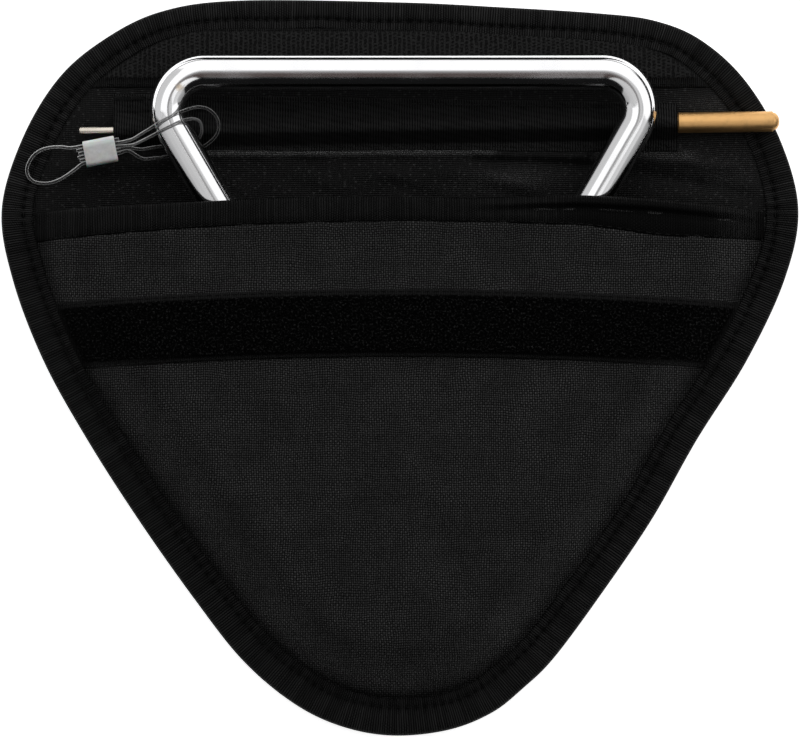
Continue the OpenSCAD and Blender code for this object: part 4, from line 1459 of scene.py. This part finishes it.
def strip_plan(low_y, high_y, inset, columns, rows, band):
    """Plan of a strip across the pouch from edge tape to edge tape, between two heights. band
    carries a height at the middle to the height at x."""
    rim = tape_rim(inset)
    level = np.linspace(high_y, low_y, rows)
    sides = []
    for side in (-1, 1):
        here = rim[rim[:, 0] * side > 20 * MM]
        here = here[np.argsort(here[:, 1])]
        x = np.full(rows, side * 0.09)
        for _ in range(6):
            x = np.interp(band(x, level), here[:, 1], here[:, 0])
        sides.append(x)
    share = np.linspace(0, 1, columns)
    x = sides[0][:, None] * (1 - share) + sides[1][:, None] * share
    return np.stack([x, band(x, level[:, None])], -1)


class TRIANGLESET_OT_strips(bpy.types.Operator):
    """Pile strip across the pocket and hook strip across the flap, each with its stitches"""

    bl_idname = "triangle_set.strips"
    bl_label = "Fastener Strips"
    bl_options = {"REGISTER", "UNDO"}

    def execute(self, context):
        self.pile()
        self.hooks()
        return {"FINISHED"}

    def pile(self):
        """Loops stand to the strip's height between flat selvedges, each point moved a little."""
        strips = settings().strips
        columns, rows = 560, 64
        plan = strip_plan(strips.loop_y - strips.loop_w, strips.loop_y, -0.4 * MM, columns, rows,
                          band_y)
        ground = front_shape(plan)[0]
        edge = steps_in(rows)[:, None] * strips.loop_w / (rows - 1)
        pile = smoothstep((edge - 1.2 * MM) / (0.9 * MM)) * smoothstep(steps_in(columns)[None] / 6)
        draw = np.random.default_rng(3)
        fuzz = draw.normal(0, 0.13, plan.shape[:2]) + 0.20 * ripple(plan, 0.004, 17)
        rise = 0.45 * smoothstep(edge / (0.5 * MM)) + pile * (strips.loop_t / MM - 0.45 + fuzz)
        top = at_height(plan, ground + rise * MM + 0.05 * MM)
        top[..., :2] += draw.normal(0, 0.08 * MM, plan.shape) * pile[..., None]
        parts = slab(top, at_height(plan, ground - 0.05 * MM))
        made = piece("pile_strip", parts, pile_cloth(), "pocket",
                     for_first(parts, pile))
        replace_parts(made, "loop_strip")
        sewn = at_height(plan, ground + 0.45 * MM)[:, 4:-4]
        lines = [stitches(sewn[row], 2.6 * MM, 2.1 * MM, 0.16 * MM) for row in (2, rows - 3)]
        piece("pile_stitching", lines, sewing_thread(), "pocket")

    def hooks(self):
        """Flat tape with a slightly raised field of hooks, its ends tucked under the edge tape."""
        strips = settings().strips
        columns, rows = 420, 48
        selvedge = 2.4 * MM
        plan = strip_plan(strips.hook_y - selvedge, strips.hook_y + strips.hook_w, -0.6 * MM,
                          columns, rows, lambda x, y: y + 0 * x)
        step = (strips.hook_w + selvedge) / (rows - 1)
        edge = steps_in(rows)[:, None] * step
        low = np.arange(rows)[::-1, None] * step
        share = steps_in(columns)[None]
        field = (smoothstep((low - 2.6 * MM) / (0.5 * MM)) * smoothstep((share - 2) / 5)
                 * smoothstep((edge - 1.0 * MM) / (0.4 * MM)))
        rise = (0.5 * smoothstep(edge / (0.4 * MM)) * smoothstep(share / 8) + 0.5 * field
                + 0.06 * ripple(plan, 0.02, 41) * smoothstep(share / 8))
        ground = lining_height(plan)
        top = at_height(plan, ground + (rise + 0.05) * MM)
        parts = slab(top, at_height(plan, ground - 0.05 * MM))
        made = piece("hook_tape", parts, hook_cloth(), "flap", for_first(parts, field))
        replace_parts(made, "hook_strip")
        lines = [stitches(top[row, 10:-10], 2.8 * MM, 2.3 * MM, 0.16 * MM) for row in (2, rows - 4)]
        piece("hook_stitching", lines, sewing_thread(), "flap")


class TRIANGLESET_OT_sleeve(bpy.types.Operator):
    """Webbing sleeve that holds the beater, with seams and bar tacks"""

    bl_idname = "triangle_set.sleeve"
    bl_label = "Beater Sleeve"
    bl_options = {"REGISTER", "UNDO"}

    def crown(self, across):
        """Height of the webbing over the lining: a round crown over the shaft, a straight slope
        down to each seam and the flat seam, the corners eased."""
        start = beater_start()
        radius = settings().metal.shaft_d / 2 + 0.3 * MM + settings().strips.sleeve_t
        foot_y, foot_z = 5.1 * MM, BACK_TOP + settings().strips.sleeve_t - start[2]
        lean = math.atan2(foot_z, foot_y) + math.acos(radius / math.hypot(foot_y, foot_z))
        touch = radius * np.array([math.cos(lean), math.sin(lean)])
        out = np.abs(across)
        slope = touch[1] + (out - touch[0]) * (foot_z - touch[1]) / (foot_y - touch[0])
        round_top = np.sqrt(np.clip(radius ** 2 - out ** 2, 0, None))
        height = np.where(out < touch[0], round_top, slope)
        flat = foot_z + 0 * out
        ease = 0.35 * MM
        gap = (height - flat) / ease
        return flat + ease * np.logaddexp(0, np.clip(gap, -30, 30))

    def execute(self, context):
        strips = settings().strips
        columns, rows = 360, 56
        x = np.linspace(0, strips.sleeve_l + 0.25 * MM, columns)
        share = x / x[-1]
        low = -(5.6 + 2.9 * share) * MM
        high = low + strips.sleeve_w - 2.4 * MM * share
        low = low + 0.25 * MM * np.sin(x / 0.0135 + 0.6) * np.sin(np.pi * share) ** 0.3
        w = np.linspace(0, 1, rows)
        y = high[:, None] * (1 - w) + low[:, None] * w
        local = np.stack([np.broadcast_to(x[:, None], y.shape), y, 0 * y], -1)
        plan = sleeve_frame(local)[..., :2]
        local[..., 2] = self.crown(y) + 0.10 * MM * ripple(plan, 0.009, 51)
        top = sleeve_frame(local)
        ground = lining_height(plan)
        seam = smoothstep((np.abs(y) - 5.2 * MM) / (0.8 * MM))
        rise = ground + strips.sleeve_t + 0.02 * MM
        edge = np.minimum(y - low[:, None], high[:, None] - y)
        rise = rise - 0.25 * MM * (1 - smoothstep(edge / (0.5 * MM)))
        top[..., 2] = top[..., 2] * (1 - seam) + rise * seam
        bottom = top.copy()
        bottom[..., 2] = np.maximum(top[..., 2] - strips.sleeve_t, ground - 0.05 * MM)
        made = piece("webbing_sleeve", slab(top, bottom), sleeve_webbing(), "flap")
        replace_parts(made, "beater_sleeve")
        lines = [stitches(self.sewn(x, offset, 0.03 * MM)[3:-3], 2.7 * MM, 2.2 * MM, 0.16 * MM)
                 for offset in (high - 1.4 * MM, low + 1.2 * MM)]
        lines += [self.tack(0.4 * MM, 9.4 * MM, offset)
                  for offset in (high[0] - 1.5 * MM, low[0] + 1.3 * MM)]
        piece("sleeve_stitching", lines, sewing_thread(), "flap")
        return {"FINISHED"}

    def sewn(self, x, y, lift):
        """Thread's path over the flat seam, from places along and across the beater's line."""
        path = sleeve_frame(np.stack([x, y, 0 * x], -1))
        path[:, 2] = lining_height(path[:, :2]) + settings().strips.sleeve_t + lift
        return path

    def tack(self, start, end, offset):
        """Bar tack: a dense zigzag, each pass a thread across the bar."""
        passes, points = 27, 260
        x = np.linspace(start, end, passes)
        path = self.sewn(x, offset + 0.65 * MM * (-1.0) ** np.arange(passes), 0.16 * MM)
        radius = np.full(points, 0.17 * MM)
        radius[[0, -1]] = 0
        return tube(even_steps(path, points), radius, 6)


OPERATORS = (TRIANGLESET_OT_stage, TRIANGLESET_OT_line, TRIANGLESET_OT_triangle,
             TRIANGLESET_OT_beater, TRIANGLESET_OT_back, TRIANGLESET_OT_edge_tape,
             TRIANGLESET_OT_front, TRIANGLESET_OT_mouth, TRIANGLESET_OT_strips,
             TRIANGLESET_OT_sleeve)


class TRIANGLESET_PT_panel(bpy.types.Panel):
    """Lists the sizes and the build steps"""

    bl_label = "Triangle Set"
    bl_idname = "TRIANGLESET_PT_panel"
    bl_space_type = "VIEW_3D"
    bl_region_type = "UI"
    bl_category = "Triangle Set"

    def draw(self, context):
        for group in ("pouch", "strips", "metal", "finish"):
            box = self.layout.box()
            values = getattr(context.scene.triangle_set, group)
            box.label(text=type(values).__name__)
            for name in type(values).__annotations__:
                box.prop(values, name)
        for operator in OPERATORS:
            self.layout.operator(operator.bl_idname)


CLASSES = (PouchSizes, StripSizes, MetalSizes, FinishColours, TriangleSet, *OPERATORS,
           TRIANGLESET_PT_panel)


def register():
    """Registers the classes and puts the settings on the scene."""
    for item in CLASSES:
        bpy.utils.register_class(item)
    bpy.types.Scene.triangle_set = PointerProperty(type=TriangleSet)


def unregister():
    """Takes the settings and the classes away again."""
    del bpy.types.Scene.triangle_set
    for item in reversed(CLASSES):
        bpy.utils.unregister_class(item)


def main():
    register()
    for operator in OPERATORS:
        group, name = operator.bl_idname.split(".")
        getattr(getattr(bpy.ops, group), name)()


if __name__ == "__main__":
    main()
